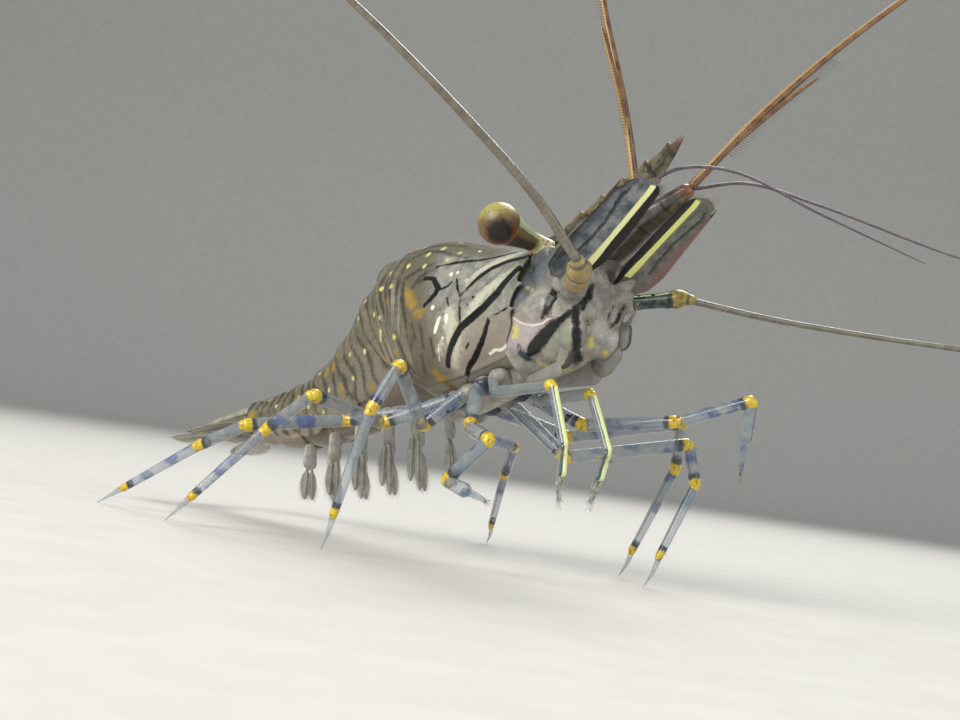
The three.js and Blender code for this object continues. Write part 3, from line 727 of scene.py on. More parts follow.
def close_round(rings, reach):
    """Adds four shrinking rings at each end so that a cut end turns into a low dome."""
    caps = []
    for ring, near in (rings[:2], rings[:-3:-1]):
        middle = ring.mean(0)
        way = unit(middle - near.mean(0))
        turn = np.linspace(0, math.pi / 2, 6)[1:-1, None, None]
        caps.append(middle + (ring - middle) * np.cos(turn) + way * reach * np.sin(turn))
    return np.concatenate([caps[0][::-1], rings, caps[1]])


def ellipsoid(middle, radii, pitch=0.0, yaw=0.0, rows=28, sides=36):
    """Stretched ball: rings along its own x, turned up by pitch and out by yaw (degrees)."""
    a, turn = np.linspace(0, math.pi, rows)[:, None], circle(sides)
    ball = np.stack([np.cos(a) + 0 * turn, np.sin(a) * np.cos(turn), np.sin(a) * np.sin(turn)], -1)
    w = math.radians(yaw)
    swing = np.array([[math.cos(w), -math.sin(w), 0], [math.sin(w), math.cos(w), 0], [0, 0, 1]])
    return pitched(ball * radii, math.radians(pitch)) @ swing.T + np.asarray(middle, float)


HEAD_SHAPE = (
    (-2.3, 2.6, -4.2, 2.1, -1.2),
    (-1.1, 2.2, -4.3, 2.05, -1.4),
    (-0.2, 1.7, -4.35, 1.95, -1.6),
    (0.55, 1.05, -4.35, 1.8, -1.8),
    (1.3, 0.85, -4.25, 1.62, -1.9),
    (2.0, 0.6, -3.85, 1.4, -1.8),
    (2.6, 0.4, -3.1, 1.1, -1.5),
    (2.95, 0.1, -2.3, 0.8, -1.2),
)
# Swellings of the face: middle, radii, turn up and turn out in degrees, y outward
FACE_SWELLINGS = (
    ((0.2, 1.4, -1.5), (1.45, 0.72, 1.0), -8, -10),
    ((-0.4, 1.3, -2.9), (1.4, 0.5, 0.8), 4, -8),
    ((1.85, 1.1, -2.25), (1.05, 0.85, 0.9), 10, 16),
    ((2.75, 1.65, -1.6), (0.85, 0.6, 0.62), -8, 33),
    ((2.2, 1.35, -0.9), (1.5, 0.7, 0.5), 14, 26),
    ((1.8, 1.0, -3.2), (0.8, 0.6, 1.0), -20, 14),
    ((2.3, 1.0, 0.1), (1.1, 0.85, 0.5), 18, 4),
    ((0.8, 1.25, 0.95), (0.95, 0.6, 0.5), 6, 10),
    ((1.2, 1.55, -0.1), (1.3, 0.45, 0.8), 0, 8),
)


def face_marks(points, strokes):
    """For each pigment, the least distance to any of its strokes on the side or sides it lies on."""
    sides = {0: np.where(points[..., 1] < 0, -1.0, 1.0), 1: 1.0, -1: -1.0}
    marks = {}
    for name, lines in strokes.items():
        gaps = []
        for side, half, route in lines:
            x, y, z = np.moveaxis(points, -1, 0)
            outward = np.stack([x, y * sides[side], z], -1)
            gaps.append(stroke_distance(outward, np.array(route, float), half))
        marks[name] = np.min(gaps, axis=0)
    return marks


def head():
    """Snout between the carapace's edges, melted into one skin with the swollen bases of the feelers,
    the lips and the outer plates of the mouth."""
    lumps = Skin().rings(close_round(egg_rings(HEAD_SHAPE, 60, 96), 0.25))
    for side in SIDES.values():
        for middle, radii, pitch, yaw in FACE_SWELLINGS:
            lumps.rings(ellipsoid(mirrored(middle, side), radii, pitch, yaw * side))
    points, faces = lumps.melted(0.075, 26)
    return Skin(*FACE_STROKES).add(points, faces, **face_marks(points, FACE_STROKES))


# Pigment on the face: side (0 for both), half width in mm, then places with y outward
FACE_STROKES = {
    "slate": (
        (0, 0.75, ((-0.5, 1.85, -0.4), (0.0, 1.7, 0.2), (0.75, 1.85, 0.25), (1.6, 1.9, 0.4))),
        (0, 0.5, ((1.8, 1.2, 0.9), (2.6, 1.0, 0.5))),
    ),
    "lilac": ((0, 0.6, ((-1.35, 1.9, -2.5), (-0.8, 1.9, -2.6), (-0.2, 1.86, -2.55))),),
    "moss": ((-1, 0.5, ((0.5, 1.4, -3.5), (1.1, 1.35, -3.4), (1.8, 1.45, -3.6))),),
    "dark": (
        (
            0,
            (0.2, 0.34, 0.36, 0.3, 0.18, 0.14),
            (
                (-0.65, 1.65, -3.6), (-0.3, 1.65, -3.4), (0.5, 1.61, -3.02), (1.08, 1.6, -2.74),
                (1.9, 1.78, -2.77), (2.5, 1.7, -2.6),
            ),
        ),
        (
            -1,
            (0.22, 0.2, 0.22, 0.22, 0.3),
            (
                (2.7, 1.5, -2.5), (2.48, 1.4, -3.0), (2.36, 1.32, -3.6), (1.98, 1.05, -4.08),
                (1.15, 0.3, -4.24),
            ),
        ),
        (
            0, (0.28, 0.26, 0.18, 0.06),
            ((1.5, 1.65, -1.25), (1.28, 1.73, -1.65), (1.0, 1.8, -2.0), (0.7, 1.82, -2.22)),
        ),
        (0, (0.12, 0.09, 0.05), ((1.9, 1.66, -1.4), (1.45, 1.74, -1.82), (0.95, 1.72, -2.2))),
        (
            -1, (0.1, 0.24, 0.26, 0.2),
            ((3.05, 0.55, -1.2), (2.95, 0.75, -1.7), (2.85, 1.2, -2.25), (2.7, 1.5, -2.5)),
        ),
        (1, (0.06, 0.16, 0.05), ((3.1, 1.34, -1.95), (2.8, 1.15, -2.5), (2.54, 0.8, -2.95))),
        (1, (0.04, 0.08), ((2.82, 0.9, -1.9), (2.76, 0.5, -2.55))),
    ),
    "ink": (
        (0, 0.24, ((-1.1, 1.7, -3.3), (-0.95, 1.5, -3.6))),
        (0, 0.1, ((-1.15, 1.8, -3.0), (-0.7, 1.3, -3.95))),
        (-1, 0.2, ((1.2, 0.2, -4.24), (0.9, 0.1, -4.3))),
    ),
    "line": (
        (
            0, 0.05,
            (
                (-1.3, 2.05, -1.0), (-1.1, 2.05, -1.5), (-0.6, 1.98, -2.0), (0.0, 1.87, -2.35),
                (0.58, 1.74, -2.46), (1.0, 1.67, -2.36),
            ),
        ),
        (0, 0.04, ((1.0, 1.67, -2.36), (1.5, 1.75, -2.55), (2.0, 1.86, -2.63), (2.4, 1.77, -2.57))),
        (0, 0.03, ((-1.4, 1.9, -2.1), (-1.3, 1.9, -2.9), (-0.8, 1.6, -3.5))),
        (1, 0.05, ((2.35, 0.3, -3.37), (2.5, 0.9, -3.46))),
    ),
    "white": ((1, 0.35, ((2.5, 0.0, -3.1), (2.45, 0.8, -3.4), (2.3, 1.4, -3.4))),),
    "yellow": (
        (0, 0.17, ((-0.98, 1.97, -2.1), (-1.15, 1.93, -2.45))),
        (0, 0.08, ((-0.57, 1.13, -3.92), (-0.37, 0.9, -4.1))),
        (0, 0.09, ((0.36, 0.3, -4.32), (-0.2, 0.15, -4.34))),
        (-1, 0.13, ((2.17, 0.25, -3.6), (2.0, 0.1, -3.8))),
        (1, 0.12, ((1.95, 0.75, -4.0), (1.85, 1.0, -4.05))),
        (0, 0.06, ((-0.1, 1.78, -0.33), (-0.05, 1.78, -0.36))),
        (0, 0.05, ((0.23, 1.79, -0.62), (0.26, 1.79, -0.65))),
    ),
}


# ---------------------------------------------------------------- thorax underside
THORAX_SHAPE = (
    (-2.4, -2.9, -4.15, 0.75, -3.6),
    (-4.0, -2.9, -4.3, 0.95, -3.7),
    (-6.5, -2.9, -4.3, 1.0, -3.7),
    (-8.8, -2.9, -4.15, 0.9, -3.6),
)


def thorax():
    """Narrow keel under the carapace with a rounded base for each of the ten legs."""
    skin = Skin(*FACE_STROKES).rings(close_round(egg_rings(THORAX_SHAPE, 48, 56), 0.2))
    for side in SIDES.values():
        for x in HIP_X.values():
            base = ellipsoid(mirrored((x + 0.1, 1.15, -3.72), side), (0.56, 0.62, 0.48), 10, 0, 22, 30)
            skin.rings(base, ink=base[..., 2] + 3.85 + 0.4 * np.sin(3 * x))
    return skin


# ---------------------------------------------------------------- eyes and stalks
EYE_SPOT = (0.43, 0.45, -0.79)


def eye(side):
    """Globe on rings about its stalk's axis. spot is the angle from the dark patch, rise the height."""
    a, turn = np.linspace(0.01, math.pi - 0.01, 96)[:, None], circle(144)
    ball = np.stack([np.sin(a) * np.cos(turn), np.cos(a) + 0 * turn, np.sin(a) * np.sin(turn)], -1)
    ragged = 0.035 * np.sin(9 * turn + 3 * np.cos(5 * a)) + 0.02 * np.sin(23 * turn)
    spot = np.arccos(np.clip(ball @ unit(EYE_SPOT), -1, 1)) - 0.68 + ragged
    globe = mirrored(EYE_CENTRE + EYE_RADIUS * ball, side)
    return Skin("spot", "rise").rings(globe, spot=spot, rise=ball[..., 2])


def stalk(side):
    """Stalk that widens from a narrow neck into the cup that holds the globe.

    rise is the height of the surface's outward direction, along the share of the way to the globe.
    """
    t = np.concatenate([np.linspace(0, 0.84, 54), [0.845, 0.848]])
    radius = smooth_between(t, [0, 0.2, 0.38, 0.6, 0.74, 0.86], [0.5, 0.47, 0.5, 0.66, 0.8, 0.88], 0.05)
    radius[-2:] *= (0.97, 0.9)
    path = mirrored(mix(np.array((0.95, 1.05, 1.40)), np.array(EYE_CENTRE), t[:, None]), side)
    rings = tube(path, radius, 56, (1.0, 0.0, 0.1))
    skin = Skin("rise", "along").rings(rings, rise=unit(rings - path[:, None])[..., 2], along=t)
    return skin.rings(ellipsoid(mirrored((0.95, 1.55, 1.38), side), (0.5, 0.42, 0.42)), rise=0.3, along=0.0)


# ---------------------------------------------------------------- feelers
def spine(skin, root, tip, radius, sides=8, rows=8, **marks):
    """Straight cone with a round root."""
    t = np.linspace(0, 1, rows)
    radii = radius * np.where(t < 0.1, 0.7 + 3 * t, (1 - t) / 0.9 + 0.02)
    path = mix(np.asarray(root, float), np.asarray(tip, float), t[:, None])
    skin.rings(tube(path, radii, sides, (0.2, 0.9, 0.3)), **marks)


def feeler_path(places, side, annulus):
    """Smooth line through the places, with four steps for each short ring of the whip."""
    line = mirrored(places, side)
    rings = int(path_length(curve_through(line, 40))[-1] / annulus)
    return curve_through(line, 4 * rings + 1)


def feeler(places, side, radii, annulus, start=0.0):
    """Whip along a smooth line, pinched at each joint of its many short rings.

    ring is how near a joint lies, along the distance in mm from start, side the share that faces outward,
    where a painted highlight stripe goes.
    """
    path = feeler_path(places, side, annulus)
    s = path_length(path)
    t = s / s[-1]
    radius = np.interp(t, np.linspace(0, 1, len(radii)), radii) * rounded(t, s[-1], radii[0], 0.02)
    radius = np.maximum(radius * (1 - 0.02 * np.cos(math.pi * s / annulus) ** 12), 0.006)
    rings = tube(path, radius, 14, (0.3, 0.2, 0.93))
    # Share of the surface that faces one fixed way: it places the painted highlight stripe
    outward = (rings - path[:, None]) @ unit((-0.63, -0.77, 0.1)) / radius[:, None]
    joint = 0.5 - np.abs((s / annulus) % 1 - 0.5)
    return Skin("ring", "along", "side").rings(rings, ring=joint, along=start + s, side=outward)


# Whips of the antennules, and how far the short branch runs and how far aside its tip then lies
ANTENNULE = {
    "left": {
        "outer": (
            (7.8, 1.78, 2.25), (10.6, 4.25, 5.35), (13.9, 7.65, 8.75),
            (17.6, 11.7, 12.1), (21.8, 17.2, 16),
        ),
        "branch": (8.4, (0.05, 0.25, -0.4)),
        "inner": (
            (7.95, 1.85, 2.15), (9.5, 3.8, 2.2), (10.6, 7.6, 1.5), (12.4, 14.8, -0.2), (12.9, 19.5, -0.4),
        ),
    },
    "right": {
        "outer": (
            (7.62, 1.78, 1.55), (8.15, 2.3, 4.9), (8.55, 3.05, 8.6), (8.9, 3.8, 12.6), (7.4, 5.6, 22.5),
        ),
        "branch": (7.4, (0.0, 0.42, -0.05)),
        "inner": (
            (7.7, 1.5, 1.45), (9.0, 0.2, 2.15), (10.1, -2.2, 2.1), (11.0, -6.9, 0.7), (11.9, -13.5, -0.8),
        ),
    },
}


def branch_route(name):
    """The short branch runs beside the outer whip from near its root and leaves it towards its own tip."""
    reach, aside = ANTENNULE[name]["branch"]
    whip = curve_through(ANTENNULE[name]["outer"], 200)
    shares = np.array((0.12, 0.35, 0.6, 0.8, 1.0))
    return along_path(whip, path_length(whip), shares * reach) + shares[:, None] ** 1.5 * np.array(aside)


ANTENNA = {
    "left": [
        [5.45, 3.55, -2.2], [6.6, 7.4, -2.8], [8.3, 12.3, -3.4], [10.35, 17.8, -4],
        [11.9, 25, -4.2], [11.2, 34, -2.8], [7.5, 43, 0.4], [1.5, 50, 4.6],
    ],
    "right": [
        [5.3, 3.65, -1.65], [5.24, 4.5, -0.4], [5.2, 5.5, 0.95], [4.85, 7.85, 3.5],
        [3.6, 13.8, 9.4], [0.6, 21, 16.6], [-4.4, 27.4, 24.2], [-11.5, 32.5, 31.6], [-19.5, 36, 37.6],
    ],
}


def joined_base(places, side, wide_radii, high_radii, joints, groove=0.06, begin=0.0):
    """Smooth tube through a few places with a shallow groove at each joint, given as a share of the way.

    rise is the height of the surface's outward direction, joint the distance in mm to the nearest
    groove and along the share of the way, counted from begin.
    """
    path = curve_through(mirrored(places, side), 110)
    s = path_length(path)
    t = s / s[-1]
    at = np.linspace(0, 1, len(wide_radii))
    gap = np.min(np.abs(s[:, None] - s[-1] * np.asarray(joints)), axis=1)
    shape = rounded(t, s[-1], wide_radii[0] * 0.9, wide_radii[-1] * 0.9) * (1 - groove * np.exp(-gap / 0.09))
    wide = np.maximum(smooth_between(t, at, wide_radii, 0.04) * shape, 0.01)
    high = smooth_between(t, at, high_radii, 0.04) * shape
    rings = tube(path, wide, 48)
    out = rings - path[:, None]
    rings[..., 2] = path[:, None, 2] + out[..., 2] * (high / wide)[:, None]
    skin = Skin("rise", "joint", "along")
    return skin.rings(rings, rise=unit(out)[..., 2], joint=gap, along=mix(begin, 1.0, t))


ANTENNULE_BASE = {
    "left": ((1.3, 1.0, 0.5), (3.0, 1.08, 0.85), (5.0, 1.26, 1.45), (6.5, 1.52, 1.82), (7.95, 1.78, 2.25)),
    "right": ((1.3, 0.95, 0.4), (3.0, 1.0, 0.62), (5.0, 1.26, 0.95), (6.4, 1.5, 1.15), (7.75, 1.76, 1.5)),
}


def antennule_base(name):
    """Three segments end to end, the first broad, with an outward spine beside its tip."""
    side, places = SIDES[name], ANTENNULE_BASE[name]
    wide, high = (0.8, 1.05, 1.05, 0.95, 0.7, 0.36), (0.6, 0.62, 0.62, 0.56, 0.46, 0.32)
    skin = joined_base(places, side, wide, high, (0.56, 0.78))
    tip = np.array(places[2])
    spine(skin, mirrored(tip + (-1.0, 0.55, -0.3), side), mirrored(tip + (0.3, 0.8, 0.0), side), 0.14)
    return skin


def scale_axes(side):
    """Root, length-wise, width-wise and thickness directions of the antennal scale."""
    along = unit((0.935, 0.032, 0.355))
    across = np.array((-0.1, 0.975, 0.0))
    across = unit(across - along * (across @ along))
    return mirrored(((2.51, 1.3, -0.9), along, across, np.cross(along, across)), side)


def scale_edges(a):
    """Inner and outer limits of the blade across its width at the distance a along it."""
    inner = smooth_between(a, [0, 1.67, 4.0, 5.85], [-0.25, -0.78, -0.8, -0.64], 0.25)
    outer = smooth_between(a, [0, 0.6, 1.6, 5.5, 5.85], [1.3, 1.98, 2.12, 1.66, 1.36], 0.12)
    swing = np.sqrt(np.clip(1 - ((a - 5.85) / 0.6) ** 2, 0, 1))
    round_in, round_out = (mix(-0.64, 1.35, (1 + s * swing) / 2) for s in (-1, 1))
    tip = a > 5.85
    return np.where(tip, round_in, inner), np.where(tip, np.minimum(round_out, outer), outer)


SCALE_VEIN = ((5.75, 1.0, 0), (5.3, 1.12, 0), (4.6, 1.0, 0), (3.6, 0.86, 0), (2.6, 0.9, 0), (1.6, 1.1, 0))


def antennal_scale(side):
    """Leaf with a lens section, a rib along its outer edge and a tooth at that edge's end."""
    axes = scale_axes(side)
    round_tip = 5.85 + 0.6 * np.sin(np.linspace(0.06, 1.54, 30))
    a = np.concatenate([[0.0], np.linspace(0.05, 5.85, 110), round_tip])
    inner, outer = (edge[:, None] for edge in scale_edges(a))
    a, turn = a[:, None], circle(72)
    v = mix(inner, outer, 0.5 + 0.5 * np.cos(turn))
    lens = 0.055 + 0.05 * np.sqrt(np.clip((outer - inner) / 2, 0, 1))
    rib = 0.10 * bump(v, outer - 0.16, 0.12) * (a < 5.9) + 0.05 * bump(v, 0.15, 0.1)
    thick = (lens + rib) * np.sin(turn) * np.clip((6.5 - a) / 0.6, 0.15, 1) ** 0.5
    bow = 0.12 * ((v - 0.7) / 1.4) ** 2
    flat = np.stack([a + 0 * v, v, 0 * v], -1)
    skin = Skin("cream", "dark", "line", "rim", "outer").rings(
        set_out(axes, a, v, thick - bow),
        cream=np.maximum(np.abs(v + 0.03) - 0.175 - 0.05 * bump(a, 1.6, 0.8), np.maximum(1.1 - a, a - 6.28)),
        dark=np.maximum(v + 0.2, 0.5 - a),
        line=stroke_distance(flat, np.array(SCALE_VEIN), 0.1),
        rim=outer - v - 0.09,
        outer=np.maximum(1.4 - v, 0.3 - a),
    )
    root, tip = (set_out(axes, *place) for place in ((5.0, 1.6, 0), (6.1, 1.66, 0.02)))
    spine(skin, root, tip, 0.11, rim=-0.1)
    return skin


def scale_fringe(side):
    """Close-set bristles around the inner edge and the rounded tip."""
    _, along, across, normal = axes = scale_axes(side)
    edge = np.linspace(1.2, 5.85, 60)
    swing = np.linspace(-math.pi / 2, math.pi / 2 - 0.15, 60)
    a = np.concatenate([edge, 5.85 + 0.6 * np.cos(swing)])
    v = np.concatenate([scale_edges(edge)[0], mix(-0.64, 1.35, 0.5 + 0.5 * np.sin(swing))])
    out_a = np.concatenate([np.full(60, 0.55), np.cos(swing)])
    out_v = np.concatenate([np.full(60, -1.0), 1.1 * np.sin(swing)])
    ways = out_a[:, None] * along + out_v[:, None] * across
    length = np.interp(a, [1.2, 3, 6, 6.7], [0.2, 0.42, 0.5, 0.4])
    row = np.where(np.arange(len(a)) % 2, 0.3, 0.6)
    return Skin().bristles(set_out(axes, a, v, -0.03), ways, length, 0.012, 0.1, -normal, a / 7, row)


ANTENNA_BASE = {
    "left": (
        (2.5, 1.5, -1.6), (3.4, 2.05, -1.74), (4.7, 2.95, -1.94), (5.1, 3.25, -1.99),
        (5.6, 3.64, -2.24),
    ),
    "right": (
        (2.5, 1.5, -1.6), (3.4, 2.1, -1.66), (4.6, 2.95, -1.7), (5.0, 3.3, -1.65), (5.3, 3.75, -1.45),
    ),
}
ANTENNA_GIRTH = {
    "left": (0.55, 0.46, 0.38, 0.36, 0.36, 0.36, 0.44, 0.48, 0.3, 0.2),
    "right": (0.6, 0.64, 0.64, 0.62, 0.6, 0.56, 0.58, 0.6, 0.42, 0.24),
}


def antenna_base(name):
    """Slim base that swells into a knob and narrows again to carry the whip."""
    girth = ANTENNA_GIRTH[name]
    begin = {"left": 0.0, "right": 0.5}[name]
    return joined_base(ANTENNA_BASE[name], SIDES[name], girth, girth, (0.68, 0.9), 0.1, begin)


def comb(path, first, last, way, length, spacing):
    """Row of fine hairs along part of a feeler, all leaning one way."""
    s = path_length(path)
    at = np.arange(first, min(last, s[-1]), spacing)
    tangent = unit(along_path(np.gradient(path, axis=0), s, at))
    ways = np.asarray(way, float) + 0.55 * tangent
    place = (at - first) / (last - first)
    return Skin().bristles(along_path(path, s, at), ways, length, 0.018, 0.05, place=place)


# ---------------------------------------------------------------- jointed limbs
def limb_part(skin, start, end, radii, wide, sides=20, rows=26, flare=(0.02, 0.05), aside=0.0, **marks):
    """One segment: a tapering round tube with domed ends that reach past the joints into its neighbours.

    near and far are the distances in mm to its two joints, and front the distance round the tube from
    its foremost line.
    """
    start, end = np.asarray(start, float), np.asarray(end, float)
    way = unit(end - start)
    start, end = start - 0.55 * radii[0] * way, end + 0.55 * radii[1] * way
    length = np.linalg.norm(end - start)
    t = capped_steps(rows)
    s, left = t * length, (1 - t) * length
    radius = mix(radii[0], radii[1], t) * (1 + flare[0] * np.exp(-s / 0.3) + flare[1] * np.exp(-left / 0.3))
    radius = np.maximum(radius * rounded(t, length, radii[0] * 0.9, radii[1] * 0.9), 0.004)
    front = np.abs(circle(sides) - math.pi) * radius[:, None] + aside
    found = {"near": s - 0.4 * radii[0], "far": left - 0.4 * radii[1], "front": front}
    skin.rings(tube(mix(start, end, t[:, None]), radius, sides, wide), **{**found, **marks})


LIMB_MARKS = ("near", "far", "front", "patch")
HIP_X = {1: -3.5, 2: -4.65, 3: -5.8, 4: -6.95, 5: -8.1}
HIP_Y, HIP_Z = 1.45, -3.75

# Plates of the mouth legs from the base out: start, end, radii
MAXILLIPED = {
    "left": (
        ((-2.1, 0.62, -4.1), (1.05, 1.5, -4.48), (0.36, 0.68)),
        ((0.6, 1.35, -4.55), (2.1, 1.65, -3.3), (0.72, 0.92)),
        ((2.0, 1.75, -3.75), (2.75, 1.75, -2.55), (0.72, 0.4)),
        ((2.65, 1.75, -2.85), (4.1, 1.1, -2.5), (0.13, 0.04)),
    ),
    "right": (
        ((-2.1, 0.62, -4.3), (0.9, 1.1, -4.7), (0.3, 0.4)),
        ((0.8, 1.05, -4.7), (1.5, 0.95, -3.6), (0.45, 0.6)),
        ((1.4, 0.95, -3.8), (2.0, 0.9, -3.1), (0.56, 0.2)),
        ((1.9, 0.9, -3.2), (3.0, 0.6, -2.9), (0.12, 0.04)),
    ),
}


def maxilliped(name):
    """Leg-like outer mouthpart: flattened plates below and a slim one that points ahead."""
    side = SIDES[name]
    skin = Skin("rim", "far")
    for index, (start, end, radii) in enumerate(MAXILLIPED[name]):
        t = capped_steps(36)
        path = mix(mirrored(start, side), mirrored(end, side), t[:, None])
        length = np.linalg.norm(path[-1] - path[0])
        radius = mix(radii[0], radii[1], t) * rounded(t, length, radii[0] * 0.9, radii[1] * 0.9)
        rings = tube(path, np.maximum(radius, 0.01), 40, (0.0, side, 0.15))
        plate = index < 3
        rings[..., 1] = mix(path[:, None, 1], rings[..., 1], 0.42 if plate else 1.0)
        ahead = (rings - path[:, None]) @ np.array([0.9, 0.0, -0.42])
        inset = {"left": 0.06, "right": 0.22}[name] - (1.0 - plate) - 0.5 * (index == 0)
        skin.rings(rings, rim=radius[:, None] - ahead - inset, far=(1 - t) * length)
    return skin


# Ischium, knee, wrist and tip of each pincer leg, and the radii from the hip to the palm
CHELIPEDS = {
    1: {
        "left": ((-3.3, 1.5, -4.5), (0.2, 1.35, -5.4), (0.6, 1.5, -8.4), (-0.8, 1.3, -10.6)),
        "right": ((-3.2, 1.7, -4.6), (0.35, 1.3, -5.4), (0.75, 1.45, -8.5), (-0.1, 1.42, -11.0)),
        "radii": (0.30, 0.29, 0.25, 0.24, 0.27),
    },
    2: {
        "left": ((-2.6, 3.4, -5.8), (1.2, 6.0, -6.5), (4.45, 8.0, -6.2), (2.0, 9.1, -9.2)),
        "right": ((-4.7, 2.3, -6.0), (-2.1, 3.4, -7.6), (-4.7, 4.1, -8.9), (-2.2, 3.9, -10.6)),
        "radii": (0.34, 0.33, 0.3, 0.3, 0.36),
    },
}


def cheliped_places(number, name):
    """Hip, ischium, knee, wrist, root of the fingers and their tip."""
    hip = mirrored((HIP_X[number], HIP_Y, HIP_Z), SIDES[name])
    ischium, knee, wrist, tip = mirrored(CHELIPEDS[number][name], SIDES[name])
    return hip, ischium, knee, wrist, mix(wrist, tip, 0.5), tip


def cheliped(number, name):
    """Pincer leg: base, merus, carpus, a swollen palm and two fingers that nearly meet.

    On the front pair only the knee keeps its yellow joint, on the side of the merus.
    """
    skin = Skin(*LIMB_MARKS)
    hip, ischium, knee, wrist, half, tip = cheliped_places(number, name)
    radii = CHELIPEDS[number]["radii"]
    first = number == 1
    no_near, no_far = ({"near": FAR}, {"far": FAR}) if first else ({}, {})
    wide = (0.1, 1.0, 0.1)
    limb_part(skin, hip, ischium, (radii[0] * 1.1, radii[0]), wide, near=FAR, patch=0.25, aside=0.3, **no_far)
    limb_part(skin, ischium, knee, radii[:2], wide, rows=34, aside=0.14 * first, **no_near)
    limb_part(skin, knee, wrist, radii[2:4], wide, rows=40, flare=(0.05, 0.1), **no_far)
    limb_part(skin, wrist, half, (radii[4] * 0.8, radii[4]), wide, rows=34, far=FAR, **no_near)
    axis = unit(tip - half)
    spread = unit(np.cross(axis, (1.0, 0.0, 0.3)))
    t = np.linspace(0, 1, 26)
    radius = radii[4] * 0.42 * (1 - 0.75 * t**2) * rounded(t, np.linalg.norm(tip - half), 0.1, 0.1)
    for sign in (-1, 1):
        bow = sign * (0.12 + 0.07 * np.sin(math.pi * t) - 0.1 * t)
        path = mix(half - 0.1 * axis, tip, t[:, None]) + bow[:, None] * spread
        rings = tube(path, np.maximum(radius, 0.01), 16, (1.0, 0.0, 0.3))
        skin.rings(rings, near=FAR, far=FAR, front=0.14 if first else 0.5)
    return skin


def brush(skin, middle, axis, radius, count, length, seed, hair=0.012):
    """Tuft of hairs round a limb at one place, splayed outward."""
    random = np.random.default_rng(seed)
    axis = unit(axis)
    one = unit(np.cross(axis, (0.2, 0.4, 0.9)))
    two = np.cross(axis, one)
    turn = random.uniform(0, 2 * math.pi, count)
    shift = random.uniform(-0.25, 0.25, count)
    out = np.cos(turn)[:, None] * one + np.sin(turn)[:, None] * two
    roots = middle + radius * out + shift[:, None] * axis
    ways = out + axis * random.uniform(0.5, 1.4, count)[:, None]
    lengths = length * random.uniform(0.6, 1.0, count)
    skin.bristles(roots, ways, lengths, hair, 0.1, place=turn / 6.3, row=0.5 + shift)


# Ischium, knee, wrist and foot of each walking leg, in the floor frame
WALKING_LEGS = {
    "left": {
        3: ((-0.9, 3.05, 5.95), (2.2, 8.5, 7.5), (2.4, 9.2, 5.5), (1.2, 7.7, 0)),
        4: ((-2.1, 4.1, 7.0), (0.9, 9.2, 8.6), (0.2, 9.9, 6.2), (-3.2, 10.2, 0)),
        5: ((-9.6, 4, 6.6), (-12.1, 9.1, 6.2), (-14.3, 10.5, 4.5), (-18.3, 13.2, 0)),
    },
    "right": {
        3: ((-4.9, 3.1, 6.4), (-2.0, 7.1, 9.0), (-2.1, 8.2, 6.7), (-3.1, 9.1, 0)),
        4: ((-7.2, 3.9, 6.3), (-6.3, 8.8, 7.1), (-8.3, 9.9, 5.1), (-11.4, 12.9, 0)),
        5: ((-10.2, 4.1, 6.2), (-12.3, 8.8, 5.2), (-14.6, 10, 3.8), (-19.3, 12.9, 0)),
    },
}


def leg_places(number, name):
    """Hip, ischium, knee, wrist, ankle and foot in the head frame."""
    side = SIDES[name]
    ischium, knee, wrist, foot = mirrored(WALKING_LEGS[name][number], side)
    ankle = foot - 1.7 * unit(foot - wrist)
    hip = mirrored((HIP_X[number], HIP_Y, HIP_Z), side)
    return [hip, *floor_to_head((ischium, knee, wrist, ankle, foot))]


def walking_leg(number, name):
    """Five segments from the hip: the last is a claw that tapers to a point on the floor."""
    skin = Skin(*LIMB_MARKS)
    hip, ischium, knee, wrist, ankle, foot = leg_places(number, name)
    wide = pitched((1.0, 0.1 * SIDES[name], 0.2), -HEAD_PITCH)
    limb_part(skin, hip, ischium, (0.4, 0.34), wide, 22, 30, near=FAR, patch=0.25)
    limb_part(skin, ischium, knee, (0.33, 0.34), wide, 22, 44)
    limb_part(skin, knee, wrist, (0.3, 0.3), wide, 22, 30, (0.06, 0.06))
    limb_part(skin, wrist, ankle, (0.27, 0.2), wide, 20, 48, (0.06, 0.05))
    length = np.linalg.norm(foot - ankle)
    t = np.linspace(0, 1, 26)
    bow = 0.12 * np.sin(math.pi * t)[:, None] * unit(wide)
    path = mix(ankle - 0.1 * unit(foot - ankle), foot, t[:, None]) + bow + [0.0, 0.0, 0.02]
    radius = np.maximum(0.18 * (1 - 0.88 * t) * rounded(t, length, 0.17, 0.02), 0.012)
    return skin.rings(tube(path, radius, 16, wide), near=t * length, far=1.0 + length * (1 - t), front=0.3)


# ---------------------------------------------------------------- abdomen
# Hoops from the front: length, slope of the back in degrees, depth at the rear edge, how far the hoop
# reaches under the one before it, and the spacing of its bands
HOOPS = (
    (1.9, 2, 8.3, 0.55, 0.64),
    (2.7, -24, 7.6, 0.3, 0.9),
    (3.5, -28, 6.0, 0.25, 0.88),
    (2.6, -17, 4.9, 0.2, 0.87),
    (2.3, -6, 4.0, 0.2, 0.77),
    (4.4, 3, 2.5, 0.15, 0.73),
)
FRONT_DEPTH = 8.6
TELSON_LENGTH, TELSON_SLOPE = 4.9, 4.0
TAIL_SWING = math.radians(3)


def back_line():
    """Places along the mid-back between hoops, the directions there and each piece's heading."""
    places, headings = [np.array([-8.95, 0.0, 5.82])], []
    pieces = [hoop[:2] for hoop in HOOPS] + [(TELSON_LENGTH, TELSON_SLOPE)]
    for i, (length, slope) in enumerate(pieces):
        pitch, swing = math.radians(slope), TAIL_SWING * max(0, i - 2)
        headings.append(np.array([-math.cos(pitch) * math.cos(swing), -math.sin(swing), math.sin(pitch)]))
        places.append(places[-1] + length * headings[-1])
    between = [unit(a + b) for a, b in zip(headings[:-1], headings[1:])]
    return np.array(places), np.array([(-1.0, 0.0, 0.0), *between, unit(headings[-1])]), headings[-1]


